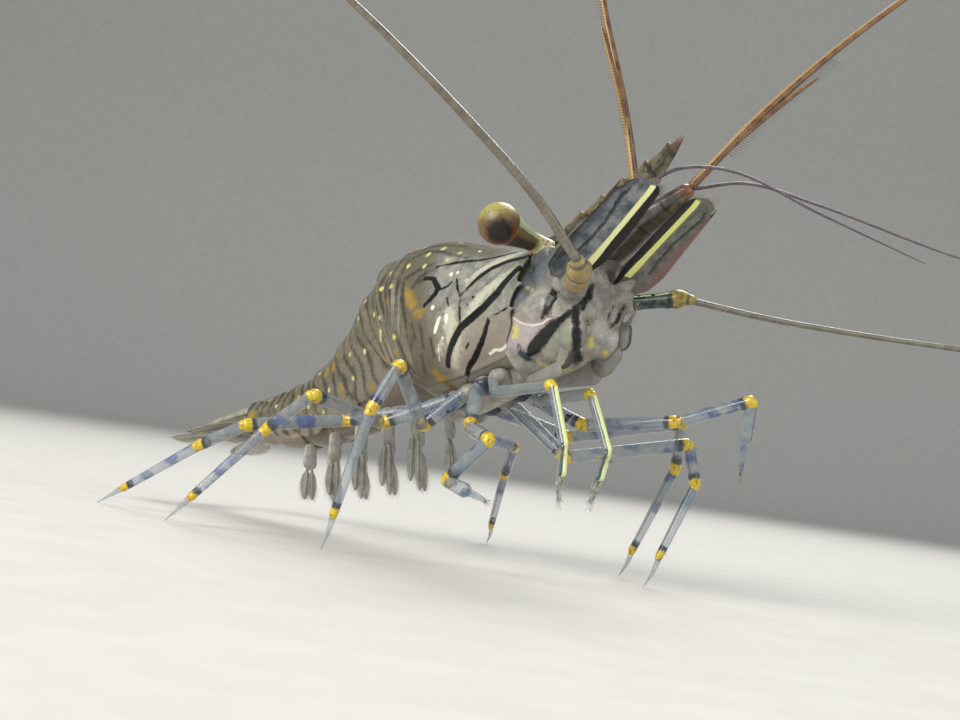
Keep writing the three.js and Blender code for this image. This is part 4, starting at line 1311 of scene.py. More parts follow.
BACK, BACK_WAYS, TAIL_HEADING = back_line()


def hoop_rings(number, t, degrees, lift):
    """Sections hung from the mid-back line of one hoop, at shares t of the way along it.

    Depth runs from the last hoop's depth to this one's, the half width is 0.38 of it, and the lower
    side sags by a lobe. lift moves points out from the section's middle.
    """
    i = number - 1
    depth = mix(HOOPS[i - 1][2] if i else FRONT_DEPTH, HOOPS[i][2], t)
    lobe = 0.35 * np.sin(math.pi * np.clip(t, 0, 1)) * (number < 6)
    back = mix(BACK[i], BACK[i + 1], t[:, None])
    direction = unit(mix(BACK_WAYS[i], BACK_WAYS[i + 1], t[:, None]))
    across = unit(np.cross(UP, direction))
    down = unit(np.cross(across, direction))
    down = down * -np.sign(down[:, 2:])
    turn = np.radians(degrees)
    fall = ((depth + lobe) / 2)[:, None] * (1 - np.cos(turn))
    half = 0.38 * depth[:, None] * fuller(np.sin(turn))
    rings = back[:, None] + fall[..., None] * down[:, None] + half[..., None] * across[:, None]
    out = unit(rings - (back + (depth / 2)[:, None] * down)[:, None])
    return rings + np.broadcast_to(lift, fall.shape)[..., None] * out


def hoop(number):
    """One hoop of the abdomen: its rear edge flares over the next hoop, its side plates end in rounded
    lobes and the underside between them is stepped in."""
    degrees = np.linspace(-180, 180, 300, endpoint=False)[None]
    fold = np.abs(degrees)
    length, _, _, ahead, period = HOOPS[number - 1]
    t = mix(-ahead / length, 1.0 + 0.10 / length, np.linspace(0, 1, 96))
    s = (t * length)[:, None]
    tuck = -0.26 * ease((0.1 - s) / 0.6)
    flare = 0.09 * ease((s - length + 0.7) / 0.7) - 0.05 * bump(s, length * 0.55, 0.5)
    edge, under = ease((fold - 100) / 30), ease((fold - 131) / 5)
    plate = 0.10 * edge * (np.sin(math.pi * np.clip(t, 0, 1))[:, None] ** 0.5 + (number == 2))
    rounding = 0.5 * edge * (1 - np.sin(math.pi * np.clip(t * 0.94 + 0.03, 0.02, 0.98)) ** 0.35)[:, None]
    lift = tuck + flare + plate - rounding * (1 - under) - 0.42 * under * (number < 6)
    body = hoop_rings(number, t, degrees, lift)
    steps = ((0.03, -0.05), (0.0, -0.13), (-0.3, -0.22))
    lips = [hoop_rings(number, t[-1:] + a / length, degrees, lift[-1:] + b)[0] for a, b in steps]
    if number == 1:
        # The first hoop's neck goes on under the carapace
        neck = np.linspace(-6.9, -8.75, 14)[:, None]
        front = carapace_point(neck, -np.radians(degrees), -0.1 - 0.32 * under)
        front_s = np.linspace(-1.9, -0.1, 14)[:, None]
        body, s = body[10:], s[10:]
    else:
        front, front_s = hoop_rings(number, t[:1], degrees, lift[:1] - 0.25), s[:1]
    rings = np.concatenate([front, body, lips])
    s = np.concatenate([front_s, s, s[-1:] - 0.1, s[-1:], s[-1:]]) + 0 * degrees
    angle = np.radians(fold)
    wave = 0.16 * np.sin(3.1 * angle + number) + 0.1 * np.sin(7.7 * angle + 2.3 * number)
    band = np.abs(((s / (1 + 0.25 * edge) + wave) / period) % 1 - 0.5) * period
    width = 0.1 + 0.06 * np.sin(5 * angle + 1.7 * number)
    return Skin("dark", "spot", "yellow", "rear", "low").rings(
        rings,
        dark=np.where(under > 0.5, 0.2, 0.5 * period - band - width),
        spot=hoop_mark(number, rings, HOOP_SPOTS),
        yellow=hoop_mark(number, rings, HOOP_YELLOW),
        rear=np.clip(length + 0.1 - s, 0, 2),
        low=fold / 180 + 0 * s,
    )


# Round marks on each hoop: share of its length, turn in degrees, radius in mm
HOOP_SPOTS = {
    1: (
        (0.38, 51, 0.15), (0.74, 65, 0.15), (0.05, 68, 0.12), (0.08, 107, 0.13), (0.97, 92, 0.13),
        (0.5, 20, 0.13),
    ),
    2: (
        (0.34, 80, 0.15), (0.24, 98, 0.12), (0.32, 100, 0.12), (0.42, 102, 0.11), (0.5, 30, 0.13),
        (0.8, 50, 0.12),
    ),
    3: (
        (0.1, 61, 0.17), (0.22, 97, 0.15), (0.5, 40, 0.12), (0.6, 80, 0.12), (0.8, 20, 0.1),
        (0.75, 104, 0.12),
    ),
    4: ((0.3, 30, 0.12), (0.5, 88, 0.13), (0.8, 50, 0.1), (0.85, 110, 0.1)),
    5: ((0.2, 40, 0.1), (0.3, 90, 0.12), (0.7, 66, 0.1), (0.8, 20, 0.1)),
    6: ((0.2, 30, 0.1), (0.35, 70, 0.1), (0.6, 40, 0.1), (0.8, 100, 0.1)),
}
HOOP_YELLOW = {
    1: ((0.24, 78, 0.16), (0.45, 118, 0.2)),
    2: ((0.75, 120, 0.2),),
    3: ((0.95, 60, 0.16), (0.5, 126, 0.24)),
    4: ((0.2, 68, 0.3), (0.5, 60, 0.32), (0.1, 102, 0.28)),
    5: ((0.5, 110, 0.26), (0.8, 70, 0.14)),
    6: ((0.15, 90, 0.25), (0.9, 80, 0.3), (0.55, 118, 0.2)),
}


def hoop_mark(number, rings, places):
    """Least signed distance to any of a hoop's round marks, on both flanks."""
    best = np.full(rings.shape[:2], 1.0)
    for share, turn, radius in places[number]:
        for at in hoop_rings(number, np.array([share]), np.array([[-turn, turn]]), 0.0)[0]:
            best = np.minimum(best, np.linalg.norm(rings - at, axis=-1) - radius)
    return best


# ---------------------------------------------------------------- tail
def tail_axes():
    """Origin at the rear of the sixth hoop, then backward, to the animal's right, and up."""
    across = unit(np.cross(UP, TAIL_HEADING))
    return BACK[6], TAIL_HEADING, across, np.cross(TAIL_HEADING, across)


def telson():
    """Tapering plate, arched across, with two pairs of small spines on it and spines at its tip."""
    axes = tail_axes()
    t = np.linspace(0, 1, 90)
    caps = rounded(t, 5.0, 0.2, 0.2)
    half = (smooth_between(t, [0, 0.1, 0.85, 1], [0.8, 0.86, 0.36, 0.26], 0.05) * caps)[:, None]
    deep = (mix(0.36, 0.16, t) * caps)[:, None]
    turn = circle(48)
    z = deep * np.sin(turn) - 0.38 - 0.35 * half * np.cos(turn) ** 2
    x = mix(-0.35, TELSON_LENGTH - 0.5, t)[:, None]
    skin = Skin("rib").rings(set_out(axes, x, half * np.cos(turn), z))
    for a, b, length in ((2.3, 0.3, 0.35), (3.3, 0.24, 0.35), (4.3, 0.22, 0.55), (4.35, 0.1, 0.4)):
        for sign in (-1, 1):
            depth = -0.26 if a < 4 else -0.42
            root = set_out(axes, a, sign * b, depth)
            spine(skin, root, set_out(axes, a + length, sign * (b + 0.05), depth + 0.04), 0.045, 6, 6)
    return skin


# Blades of the tail fan: length, half width, turn outward in radians, drop below the telson's root
FAN = {"endopod": (4.5, 0.85, 0.2, 1.18), "exopod": (4.9, 1.05, 0.46, 1.83)}


def fan_axes(kind, side):
    """Root of a tail-fan blade, then its length-wise, width-wise and thickness directions."""
    _, _, turn, drop = FAN[kind]
    origin, heading, across, up = tail_axes()
    c, s = math.cos(turn), -side * math.sin(turn)
    root = origin + 0.15 * heading - 0.62 * side * across - drop * up
    return root, c * heading + s * across, c * across - s * heading, up


def fan_outline(kind, a):
    """Share of the blade's length and half width there: both follow a half circle of turns a, and the
    blade narrows at its root."""
    share = (1 - np.cos(a)) / 2
    return share, FAN[kind][1] * (0.35 + 0.65 * ease(1.5 * share)) * np.sin(a)


def fan_blade(kind, side):
    """Oval leaf with a raised midrib and a lens section, and a round joint at its root."""
    axes = fan_axes(kind, side)
    a, turn = np.linspace(0.02, math.pi - 0.02, 96)[:, None], circle(60)
    share, half = fan_outline(kind, a)
    v = half * np.cos(turn)
    rib = 0.09 * bump(v, 0.0, 0.09) * (1 - share**3) + 0.05 * bump(v, 0.35 * side, 0.08)
    thick = (0.045 + 0.03 * half + rib) * np.sin(turn) * np.clip(np.sin(a) * 3, 0.2, 1)
    rings = set_out(axes, FAN[kind][0] * share, v, thick - 0.14 * v**2)
    joint = np.moveaxis(ellipsoid((0.15, 0, 0), (0.55, 0.36, 0.26), 0, 0, 18, 24), -1, 0)
    return Skin("rib").rings(rings, rib=np.abs(v) - 0.07).rings(set_out(axes, *joint), rib=0.0)


def fan_fringe(kind, side):
    """Bristles along the rear half of the blade's edge, all pointing back."""
    _, along, wide, up = axes = fan_axes(kind, side)
    skin = Skin()
    length = FAN[kind][0]
    a = np.linspace(1.1, math.pi - 0.05, 80)
    share, half = fan_outline(kind, a)
    room = np.clip(length * (1 - share) + 0.12, 0.12, 0.5)
    for sign in (-1, 1):
        roots = set_out(axes, length * share, sign * half, -0.14 * half**2)
        ways = along + sign * np.clip(np.sin(a), 0.1, 1)[:, None] * 0.6 * wide
        skin.bristles(roots, ways, room, 0.012, 0.1, -up, share, 0.4 + 0.1 * sign)
    return skin


# ---------------------------------------------------------------- swimmerets
# The two leaves below the stem: shift outward and forward, half width
LEAVES = ((0.2, 0.06, 0.33), (-0.2, -0.06, 0.27))
STEM_SHARE = 0.46


def swimmeret_axes(number, side):
    """Root, downward, outward and forward directions, and the length of one swimmeret."""
    t = (number - 1) / 4
    root = np.array([mix(-10.2, -19.4, t), mix(1.0, 0.75, t) * side - mix(0.0, 0.9, t), -2.2])
    lean = unit((-0.1, 0.06 * side, -1.0))
    wide = unit(np.cross(np.cross(lean, (0.0, 1.0, 0.0)), lean))
    return (root, lean, wide, unit(np.cross(wide, lean))), mix(4.9, 3.4, t)


def leaf_line(length, side, leaf, share):
    """Places down, outward and forward along the middle of a leaf, and its half width there."""
    shift, ahead, half = leaf
    top = 0.93 * STEM_SHARE * length
    outline = half * np.sin(math.pi * share) ** 0.6 * (0.75 + 0.35 * share)
    return top + share * (length - top - 0.12), side * shift * (0.6 + 0.5 * share), ahead, outline


def swimmeret(number, side):
    """Flattened stem with two thin leaves below it, the inner one slightly behind the outer."""
    axes, length = swimmeret_axes(number, side)
    root, lean, wide, forward = axes
    t = capped_steps(30)
    stem = STEM_SHARE * length
    radius = smooth_between(t, [0, 0.15, 0.8, 1], [0.3, 0.4, 0.44, 0.3], 0.05) * rounded(t, stem, 0.25, 0.25)
    path = root + (t * stem)[:, None] * lean
    rings = tube(path, np.maximum(radius, 0.01), 28, wide)
    rings = rings - 0.55 * ((rings - path[:, None]) @ forward)[..., None] * forward
    skin = Skin("rib").rings(rings)
    share, turn = np.linspace(0.01, 0.99, 48)[:, None], circle(32)
    for leaf in LEAVES:
        down, out, ahead, half = leaf_line(length, side, leaf, share)
        v = half * np.cos(turn)
        thick = (0.03 + 0.05 * bump(v, 0, 0.06)) * np.sin(turn) * np.clip(half * 6, 0.1, 1)
        skin.rings(set_out(axes, down, out + v, ahead + thick), rib=np.abs(v) - 0.04)
    return skin


def swimmeret_fringe(number, side):
    """Fine hairs down both edges of each leaf."""
    axes, length = swimmeret_axes(number, side)
    _, lean, wide, _ = axes
    skin = Skin()
    share = np.linspace(0.15, 0.99, 34)
    for leaf in LEAVES:
        down, out, ahead, half = leaf_line(length, side, leaf, share)
        for sign in (-1, 1):
            roots = set_out(axes, down, out + sign * half, ahead)
            ways = np.broadcast_to(lean + sign * 0.7 * wide, roots.shape)
            skin.bristles(roots, ways, 0.26, 0.01, 0.1, lean, share, 0.5 + 0.2 * sign)
    return skin


# ---------------------------------------------------------------- settings
def colour_setting(name, hex_colour, description):
    colour = linear(hex_colour)
    return bpy.props.FloatVectorProperty(
        name=name, description=description, subtype="COLOR", size=3, min=0.0, max=1.0, default=colour
    )


def number_setting(name, kind, default, description, low=0.0, **limits):
    return bpy.props.FloatProperty(
        name=name, description=description, subtype=kind, min=low, default=default, **limits
    )


def share_setting(name, default, description):
    return number_setting(name, "FACTOR", default, description, max=1.0)


def size_setting(name, default_mm, description):
    return number_setting(name, "DISTANCE", default_mm * MM, description, unit="LENGTH")


def count_setting(name, low, high, default, description):
    return bpy.props.IntProperty(name=name, description=description, min=low, max=high, default=default)


class PrawnShellSettings(bpy.types.PropertyGroup):
    ground: colour_setting("Ground", "#8a887c", "Main colour of the carapace")
    mottle: colour_setting("Mottle", "#6c6e69", "Second colour of the carapace, in soft patches")
    flank: colour_setting("Flank", "#8b8176", "Colour towards the lower edge of the carapace")
    hoop: colour_setting("Hoops", "#5d5848", "Main colour of the abdomen")
    stripe: colour_setting("Stripes", "#070908", "Colour of the dark stripes and bands")
    cream: colour_setting("Cream", "#b9b8a2", "Colour between the stripes")
    pale: colour_setting("Spots", "#c6c47a", "Colour of the pale spots")
    yellow: colour_setting("Yellow", "#8f742c", "Colour of the yellow patches")
    margin: colour_setting("Margin", "#a8642c", "Colour of the carapace's front edge")
    rows: count_setting("Rows", 40, 210, 196, "Rows of the carapace's grid")
    columns: count_setting("Columns", 60, 460, 440, "Columns of the carapace's grid")


class PrawnEyeSettings(bpy.types.PropertyGroup):
    # The eye's upper side: its gold is partly the eye's own colour and partly painted light from above
    gold_and_top_light: colour_setting("Gold", "#a59c52", "Colour of the eye's upper side")
    rust: colour_setting("Rust", "#8f5230", "Colour of the eye's lower rim")
    spot: colour_setting("Dark spot", "#0c0806", "Colour of the dark patch in the eye")
    stalk_top: colour_setting("Stalk above", "#b4c79a", "Colour of the stalk's upper side")
    stalk_side: colour_setting("Stalk side", "#7a6a40", "Colour of the stalk's side")
    stalk_low: colour_setting("Stalk below", "#40321f", "Colour of the stalk's lower side")
    facet: size_setting("Facet", 0.045, "Width of one facet of the eye")


class PrawnFeelerSettings(bpy.types.PropertyGroup):
    amber: colour_setting("Amber", "#4c2c12", "Colour of the antennules' outer whips")
    dusk: colour_setting("Dusk", "#40363e", "Colour of the antennules' inner whips")
    reed: colour_setting("Reed", "#5a5547", "Colour of the long antennae")
    joint: colour_setting("Joint", "#3a2c1c", "Colour at the joints between the rings")
    annulus: size_setting("Ring length", 0.17, "Length of one ring of the antennules' whips")
    long_annulus: size_setting("Antenna ring length", 0.26, "Length of one ring of the antennae's whips")


class PrawnLegSettings(bpy.types.PropertyGroup):
    glass: colour_setting("Glass", "#7d8a96", "Colour of the legs between the joints")
    blue: colour_setting("Blue", "#3c5284", "Colour of the blue patches")
    yellow: colour_setting("Yellow", "#c4aa1c", "Colour of the joints")
    orange: colour_setting("Orange", "#a0661a", "Colour in the middle of the joints")
    dark: colour_setting("Dark ring", "#181f30", "Colour of the ring beside each joint")
    teal: colour_setting("Teal line", "#22403c", "Colour of the line along the front pincer legs")
    stripe: colour_setting("Pale stripe", "#d8dc9a", "Colour of the stripe along the front pincer legs")
    clear: share_setting("Solidity", 0.4, "How solid the legs look between the marks")


class PrawnTailSettings(bpy.types.PropertyGroup):
    blade: colour_setting("Blade", "#a7a492", "Colour of the tail fan's blades")
    rib: colour_setting("Rib", "#4a4a3c", "Colour of the ribs of the tail fan")
    paddle: colour_setting("Paddle", "#a9a79c", "Colour of the swimmerets")
    clear: share_setting("Solidity", 0.72, "How solid the blades look between the marks")


class PrawnStageSettings(bpy.types.PropertyGroup):
    floor: colour_setting("Floor", "#c4c2bb", "Colour of the floor and backdrop")
    lens: number_setting("Lens", "DISTANCE_CAMERA", 53.8, "Focal length of the camera", 10.0)
    key: number_setting("Key light", "POWER", 1.15, "Power of the main light")
    fill: number_setting("Fill light", "POWER", 0.35, "Power of the second light")


# ---------------------------------------------------------------- finishes of single pieces
def eye_finish(eye):
    """Gold above, brightened towards the top as painted light from above, and rust at the lower rim, with a
    dark patch, under a clear coat with fine facets.
    """
    material, node = new_finish("cornea")
    speck = grain(node, 0.12, 3.0)
    rise = node("mark", attribute_name="rise")
    spot = node("plus", node("mark", attribute_name="spot"), node("times", speck, 0.2))
    colour = painted(
        node,
        eye.rust[:],
        # Darker low down and gold towards the top: partly the eye's own colour, partly painted light from
        # above
        (node("fade", rise, -0.7, -0.3), "#665026"),
        (node("fade", rise, -0.35, 0.55), eye.gold_and_top_light[:]),
        (node("fade", speck, 0.35, 0.7, 0.0, 0.4), "#3c3018"),
        (node("fade", spot, 0.0, 0.3, 0.8, 0.0), "#3a1f12"),
        (node("fade", spot, -0.12, 0.1, 1.0, 0.0), eye.spot[:]),
    )
    cells = node("cells", node("place"), Scale=1 / eye.facet)
    domes = node("fade", cells, 0.0, 0.6, 1.0, 0.0)
    return finished(
        material,
        node,
        colour,
        Roughness=0.42,
        IOR=1.4,
        Coat_Weight=0.3,
        Coat_Roughness=0.3,
        Subsurface_Weight=0.15,
        Subsurface_Scale=0.2 * MM,
        Normal=node("ripple", Strength=0.35, Distance=0.02 * MM, Height=domes),
    )


def stalk_finish(eye):
    """Near black on top, then a pale stripe, brown lower down, with an orange ring at the globe and a
    pale, freckled root."""
    material, node = new_finish("eyestalk")
    rise = uneven(node, node("mark", attribute_name="rise"), 0.3, 0.25)
    along = node("mark", attribute_name="along")
    root = node("fade", along, 0.26, 0.36, 1.0, 0.0)
    colour = painted(
        node,
        eye.stalk_low[:],
        (node("fade", rise, -0.85, -0.5), eye.stalk_side[:]),
        (node("fade", rise, -0.32, -0.2), eye.stalk_top[:]),
        (node("fade", rise, 0.36, 0.46), "#0c100a"),
        (node("fade", along, 0.79, 0.83), "#b8661c"),
        (root, "#d9d6a4"),
        (node("times", root, mottle(node, 0.16, 0.5, 0.62)), "#b06a2a"),
    )
    return finished(
        material,
        node,
        colour,
        Roughness=0.32,
        Coat_Weight=0.4,
        Coat_Roughness=0.12,
        Subsurface_Weight=0.3,
        Subsurface_Scale=0.4 * MM,
        Normal=fine_ripple(node, 0.3, 0.15),
    )


def feeler_finish(name, colour, lighter, joint, fade, painted_highlight=None):
    """Horny rings with a darker line at each joint. fade is (from mm, to mm, colour) along the whip.

    The colour after fade is a painted highlight: a pale stripe along the side that faces outward, under the
    marks.
    """
    material, node = new_finish(name)
    coats = [(mottle(node, 0.6, at_high=0.6), lighter)]
    # Painted highlight: a pale stripe down the side of the whip that faces outward
    if painted_highlight:
        coats.append((node("fade", node("mark", attribute_name="side"), 0.0, 0.4), painted_highlight))
    low, high, shade = fade
    coats.append((node("fade", node("mark", attribute_name="along"), low, high), shade))
    coats.append((node("fade", node("mark", attribute_name="ring"), 0.03, 0.16, 0.4, 0.0), joint))
    return finished(
        material,
        node,
        painted(node, colour, *coats),
        Coat_Weight=0.4,
        Coat_Roughness=0.15,
        Subsurface_Weight=0.15,
        Subsurface_Scale=0.15 * MM,
        Roughness=node("fade", grain(node, 0.3), 0.3, 0.7, 0.25, 0.45),
    )


def base_finish(name, ground, second, knob, line, tip_from):
    """Mottled base of a feeler: pale dashes above, dark grooves at the joints and a coloured far end."""
    material, node = new_finish(name)
    rise = node("mark", attribute_name="rise")
    dash = node("times", node("fade", grain(node, 0.5), 0.42, 0.5), line)
    far = uneven(node, node("mark", attribute_name="along"), 0.2, 0.12)
    end = node("fade", far, tip_from, tip_from + 0.03)
    colour = painted(
        node,
        ground,
        (mottle(node, 0.3, 0.4, 0.62), second),
        (node("times", dash, line_at(node, rise, 0.55, 0.1, 0.2, 1.0)), "#d4d3a0"),
        (node("times", end, mottle(node, 0.2, 0.3, 0.7, 0.35)), knob),
        (node("times", end, node("fade", grain(node, 0.3), 0.6, 0.68, 0.0, 0.7)), "#9a9890"),
        (node("fade", node("mark", attribute_name="joint"), 0.04, 0.1, 0.6, 0.0), "#101612"),
    )
    return finished(
        material,
        node,
        colour,
        Roughness=0.3,
        IOR=1.42,
        Coat_Weight=0.15,
        Subsurface_Weight=0.2,
        Subsurface_Scale=0.4 * MM,
        Normal=fine_ripple(node, 0.3, 0.15),
    )


def glassy_limb(material, node, colour, solid, clear, **settings):
    """Tube that is solid at its marks, hardly so in its middle, and more where its wall is seen edge on."""
    wall = node("fade", node("edge"), 0.35, 0.95, clear, 0.9)
    settings["Alpha"] = node("most", solid, wall)
    return finished(
        material, node, colour, Roughness=0.24, Coat_Weight=0.5, Coat_Roughness=0.1, IOR=1.5, **settings
    )


def leg_finish(legs):
    """Glassy segments with blue clouds, yellow joints with orange cores, and a dark ring above each joint."""
    material, node = new_finish("limb_shell")
    cloud = node("fade", grain(node, 1.2), 0.52, 0.66)
    far, near = (uneven(node, node("mark", attribute_name=end), 0.3, 0.3) for end in ("far", "near"))
    line = node("fade", node("mark", attribute_name="front"), 0.02, 0.06, 0.8, 0.0)
    ring = node("most", line_at(node, far, 0.54, 0.08, 0.2, 0.9), inside(node, "patch", 0.1, 0.8, 0.5))
    joint = node("most", node("fade", far, 0.36, 0.46, 1.0, 0.0), node("fade", near, 0.22, 0.32, 1.0, 0.0))
    colour = painted(
        node,
        legs.glass[:],
        (mottle(node, 0.35), "#9aa0a0"),
        (cloud, legs.blue[:]),
        (line, legs.dark[:]),
        (ring, legs.dark[:]),
        (joint, legs.yellow[:]),
        (node("times", joint, mottle(node, 0.22, 0.5, 0.66)), legs.orange[:]),
    )
    solid = most(node, joint, ring, node("times", cloud, 0.7), line)
    return glassy_limb(material, node, colour, solid, legs.clear, Normal=fine_ripple(node, 0.2, 0.12, 0.02))


def pincer_finish(legs):
    """Glassy tube with a cream stripe along its front between dark lines, and yellow joints."""
    material, node = new_finish("pincer_shell")
    front = uneven(node, node("mark", attribute_name="front"), 0.3, 0.1)
    dark = line_at(node, front, 0.22, 0.05, 0.09, 0.9)
    stripe = node("fade", front, 0.11, 0.15, 1.0, 0.0)
    ring = inside(node, "patch", 0.1, 0.8, 0.5)
    far, near = (node("mark", attribute_name=end) for end in ("far", "near"))
    joint = node("most", node("fade", far, 0.26, 0.36, 1.0, 0.0), node("fade", near, 0.16, 0.26, 1.0, 0.0))
    colour = painted(
        node,
        legs.glass[:],
        (mottle(node, 0.35), "#8f968c"),
        (dark, legs.teal[:]),
        (stripe, legs.stripe[:]),
        (ring, legs.dark[:]),
        (joint, legs.yellow[:]),
    )
    return glassy_limb(material, node, colour, most(node, dark, ring, stripe, joint), legs.clear)


# ---------------------------------------------------------------- operators
class PrawnPieces:
    """Shared options of the operators that make pieces."""

    bl_options = {"REGISTER", "UNDO"}


class PRAWN_OT_carapace(PrawnPieces, bpy.types.Operator):
    """Make the carapace with its stripes"""

    bl_idname = "prawn.carapace"
    bl_label = "Carapace"

    def execute(self, context):
        look = context.scene.prawn_shell
        # Grey shell: black and cream stripes on the flanks, pale and yellow spots, an orange front edge, and
        # a painted lighter grey on the underside against its shade
        finish = shell(
            "carapace_shell",
            look.ground[:],
            look.mottle[:],
            (
                ("cream", look.cream[:], 0.24, 0.42, 0.8),
                ("streak", look.stripe[:], 0.14, 0.12, 0.7),
                ("buff", look.pale[:], 0.09, 0.06, 0.85),
                ("yellow", look.yellow[:], 0.2, 0.3, 0.9),
                ("dark", look.stripe[:], 0.04, 0.06, 1.0),
                ("white", "#e6e8d0", 0.04, 0.05, 0.9),
            ),
            speckle=0.75,
            tints=(
                ("low", look.flank[:], 0.42, 0.72),
                ("aft", look.hoop[:], 0.0, 1.0),
                # Painted light: a lighter grey on the underside, where the shell lies in shade
                ("low", "#a39a90", 0.80, 0.84),
            ),
            edge_line=("edge", look.margin[:], 0.07, 0.16),
        )
        carapace(look.rows, look.columns).make("carapace_shell", finish, "carapace_shell", "carapace")
        return {"FINISHED"}


class PRAWN_OT_rostrum(PrawnPieces, bpy.types.Operator):
    """Make the toothed blade between the eyes and its bristles"""

    bl_idname = "prawn.rostrum"
    bl_label = "Rostrum"

    def execute(self, context):
        # Dark olive blade: brown along its teeth, its keel and its tip, with a row of black blotches
        finish = shell(
            "rostrum_shell",
            "#4c4c40",
            "#6a6856",
            (
                ("blotch", context.scene.prawn_shell.stripe[:], 0.08, 0.2, 0.8),
                ("top", "#6e5626", 0.1, 0.2, 0.7),
                ("keel", "#3a2c20", 0.05, 0.05, 0.85),
                ("tip", "#4e3424", 0.3, 0.1, 0.9),
            ),
            speckle=0.85,
        )
        rostrum().make("rostrum_blade", finish, "carapace_shell", "rostrum")
        rostrum_bristles().make("rostrum_bristles", bristle_finish("rostrum_hair", "#5a5038", "#a89a70"))
        return {"FINISHED"}


class PRAWN_OT_head(PrawnPieces, bpy.types.Operator):
    """Make the head, the mouthparts and the underside of the thorax"""

    bl_idname = "prawn.head"
    bl_label = "Head and mouth"

    def execute(self, context):
        # Pale grey face: slate, lilac and moss clouds, black bars with a pink line, yellow flecks
        finish = shell(
            "head_shell",
            "#9a968c",
            "#7b7870",
            (
                ("slate", "#4a5560", 0.5, 0.6, 0.8),
                ("lilac", "#a5999a", 0.5, 0.4, 0.7),
                ("moss", "#7b8070", 0.3, 0.3, 0.7),
                ("line", "#ddc9c4", 0.03, 0.02, 0.8),
                ("white", "#b8b4b0", 0.25, 0.3, 0.6),
                ("ink", "#16243a", 0.14, 0.2, 0.9),
                ("dark", "#060c0b", 0.08, 0.14, 0.97),
                ("yellow", "#c3b757", 0.13, 0.2, 0.85),
            ),
            speckle=0.8,
            dots="#4c3222",
        )
        head().make("head_front", finish, "glassy_shell", "head", "mouthparts")
        thorax().make("thorax_keel", finish, "glassy_shell", "thorax_underside")
        return {"FINISHED"}


class PRAWN_OT_eyes(PrawnPieces, bpy.types.Operator):
    """Make the eyes and their stalks"""

    bl_idname = "prawn.eyes"
    bl_label = "Eyes"

    def execute(self, context):
        look = context.scene.prawn_eye
        cornea, cup = eye_finish(look), stalk_finish(look)
        for name, side in SIDES.items():
            eye(side).make(f"eye_globe_{name}", cornea, "cornea", f"eye_{name}")
            stalk(side).make(f"eye_stalk_{name}", cup, "glassy_shell", f"eyestalk_{name}")
        return {"FINISHED"}


class PRAWN_OT_antennules(PrawnPieces, bpy.types.Operator):
    """Make the antennules: peduncles, whips and their combs of fine hair"""

    bl_idname = "prawn.antennules"
    bl_label = "Antennules"

    def execute(self, context):
        look = context.scene.prawn_feeler
        annulus = look.annulus / MM
        # Amber outer whips with a painted highlight stripe down one side, dusky inner ones, grey bases that
        # end in brown, and dark hairs
        fade = (14, 30, "#4c3a2a")
        amber = feeler_finish("antennule_whip", look.amber[:], "#8a6630", look.joint[:], fade, "#9a7a48")
        fade = (12, 24, "#6a6064")
        dusk = feeler_finish("antennule_inner_whip", look.dusk[:], "#6a5a52", "#2a2430", fade)
        base = base_finish("antennule_base_shell", "#55504d", "#67625e", "#8a5a30", 0.0, 0.9)
        hair = bristle_finish("comb_hair", "#2c241a", "#5a4e3a")
        for name, side in SIDES.items():
            peduncle = f"antennule_peduncle_{name}"
            antennule_base(name).make(f"antennule_base_{name}", base, "glassy_shell", peduncle)
            outer, inner = ANTENNULE[name]["outer"], ANTENNULE[name]["inner"]
            whips = (
                ("outer_whip", "outer_flagellum", amber, outer, (0.22, 0.19, 0.16, 0.12, 0.05), 0.0),
                ("short_whip", "short_ramus", amber, branch_route(name), (0.1, 0.14, 0.13, 0.06), 2.0),
                ("inner_whip", "inner_flagellum", dusk, inner, (0.09, 0.07, 0.055, 0.03), 0.0),
            )
            for piece, solid, finish, places, radii, start in whips:
                whip = feeler(places, side, radii, annulus, start)
                whip.make(f"antennule_{piece}_{name}", finish, "feeler", f"antennule_{solid}_{name}")
            way = mirrored((0.1, 0.6, -0.8), side)
            hairs = comb(feeler_path(outer, side, annulus), 2.4, 9.5, way, 0.75, 0.14)
            hairs.make(f"antennule_comb_{name}", hair)
        return {"FINISHED"}


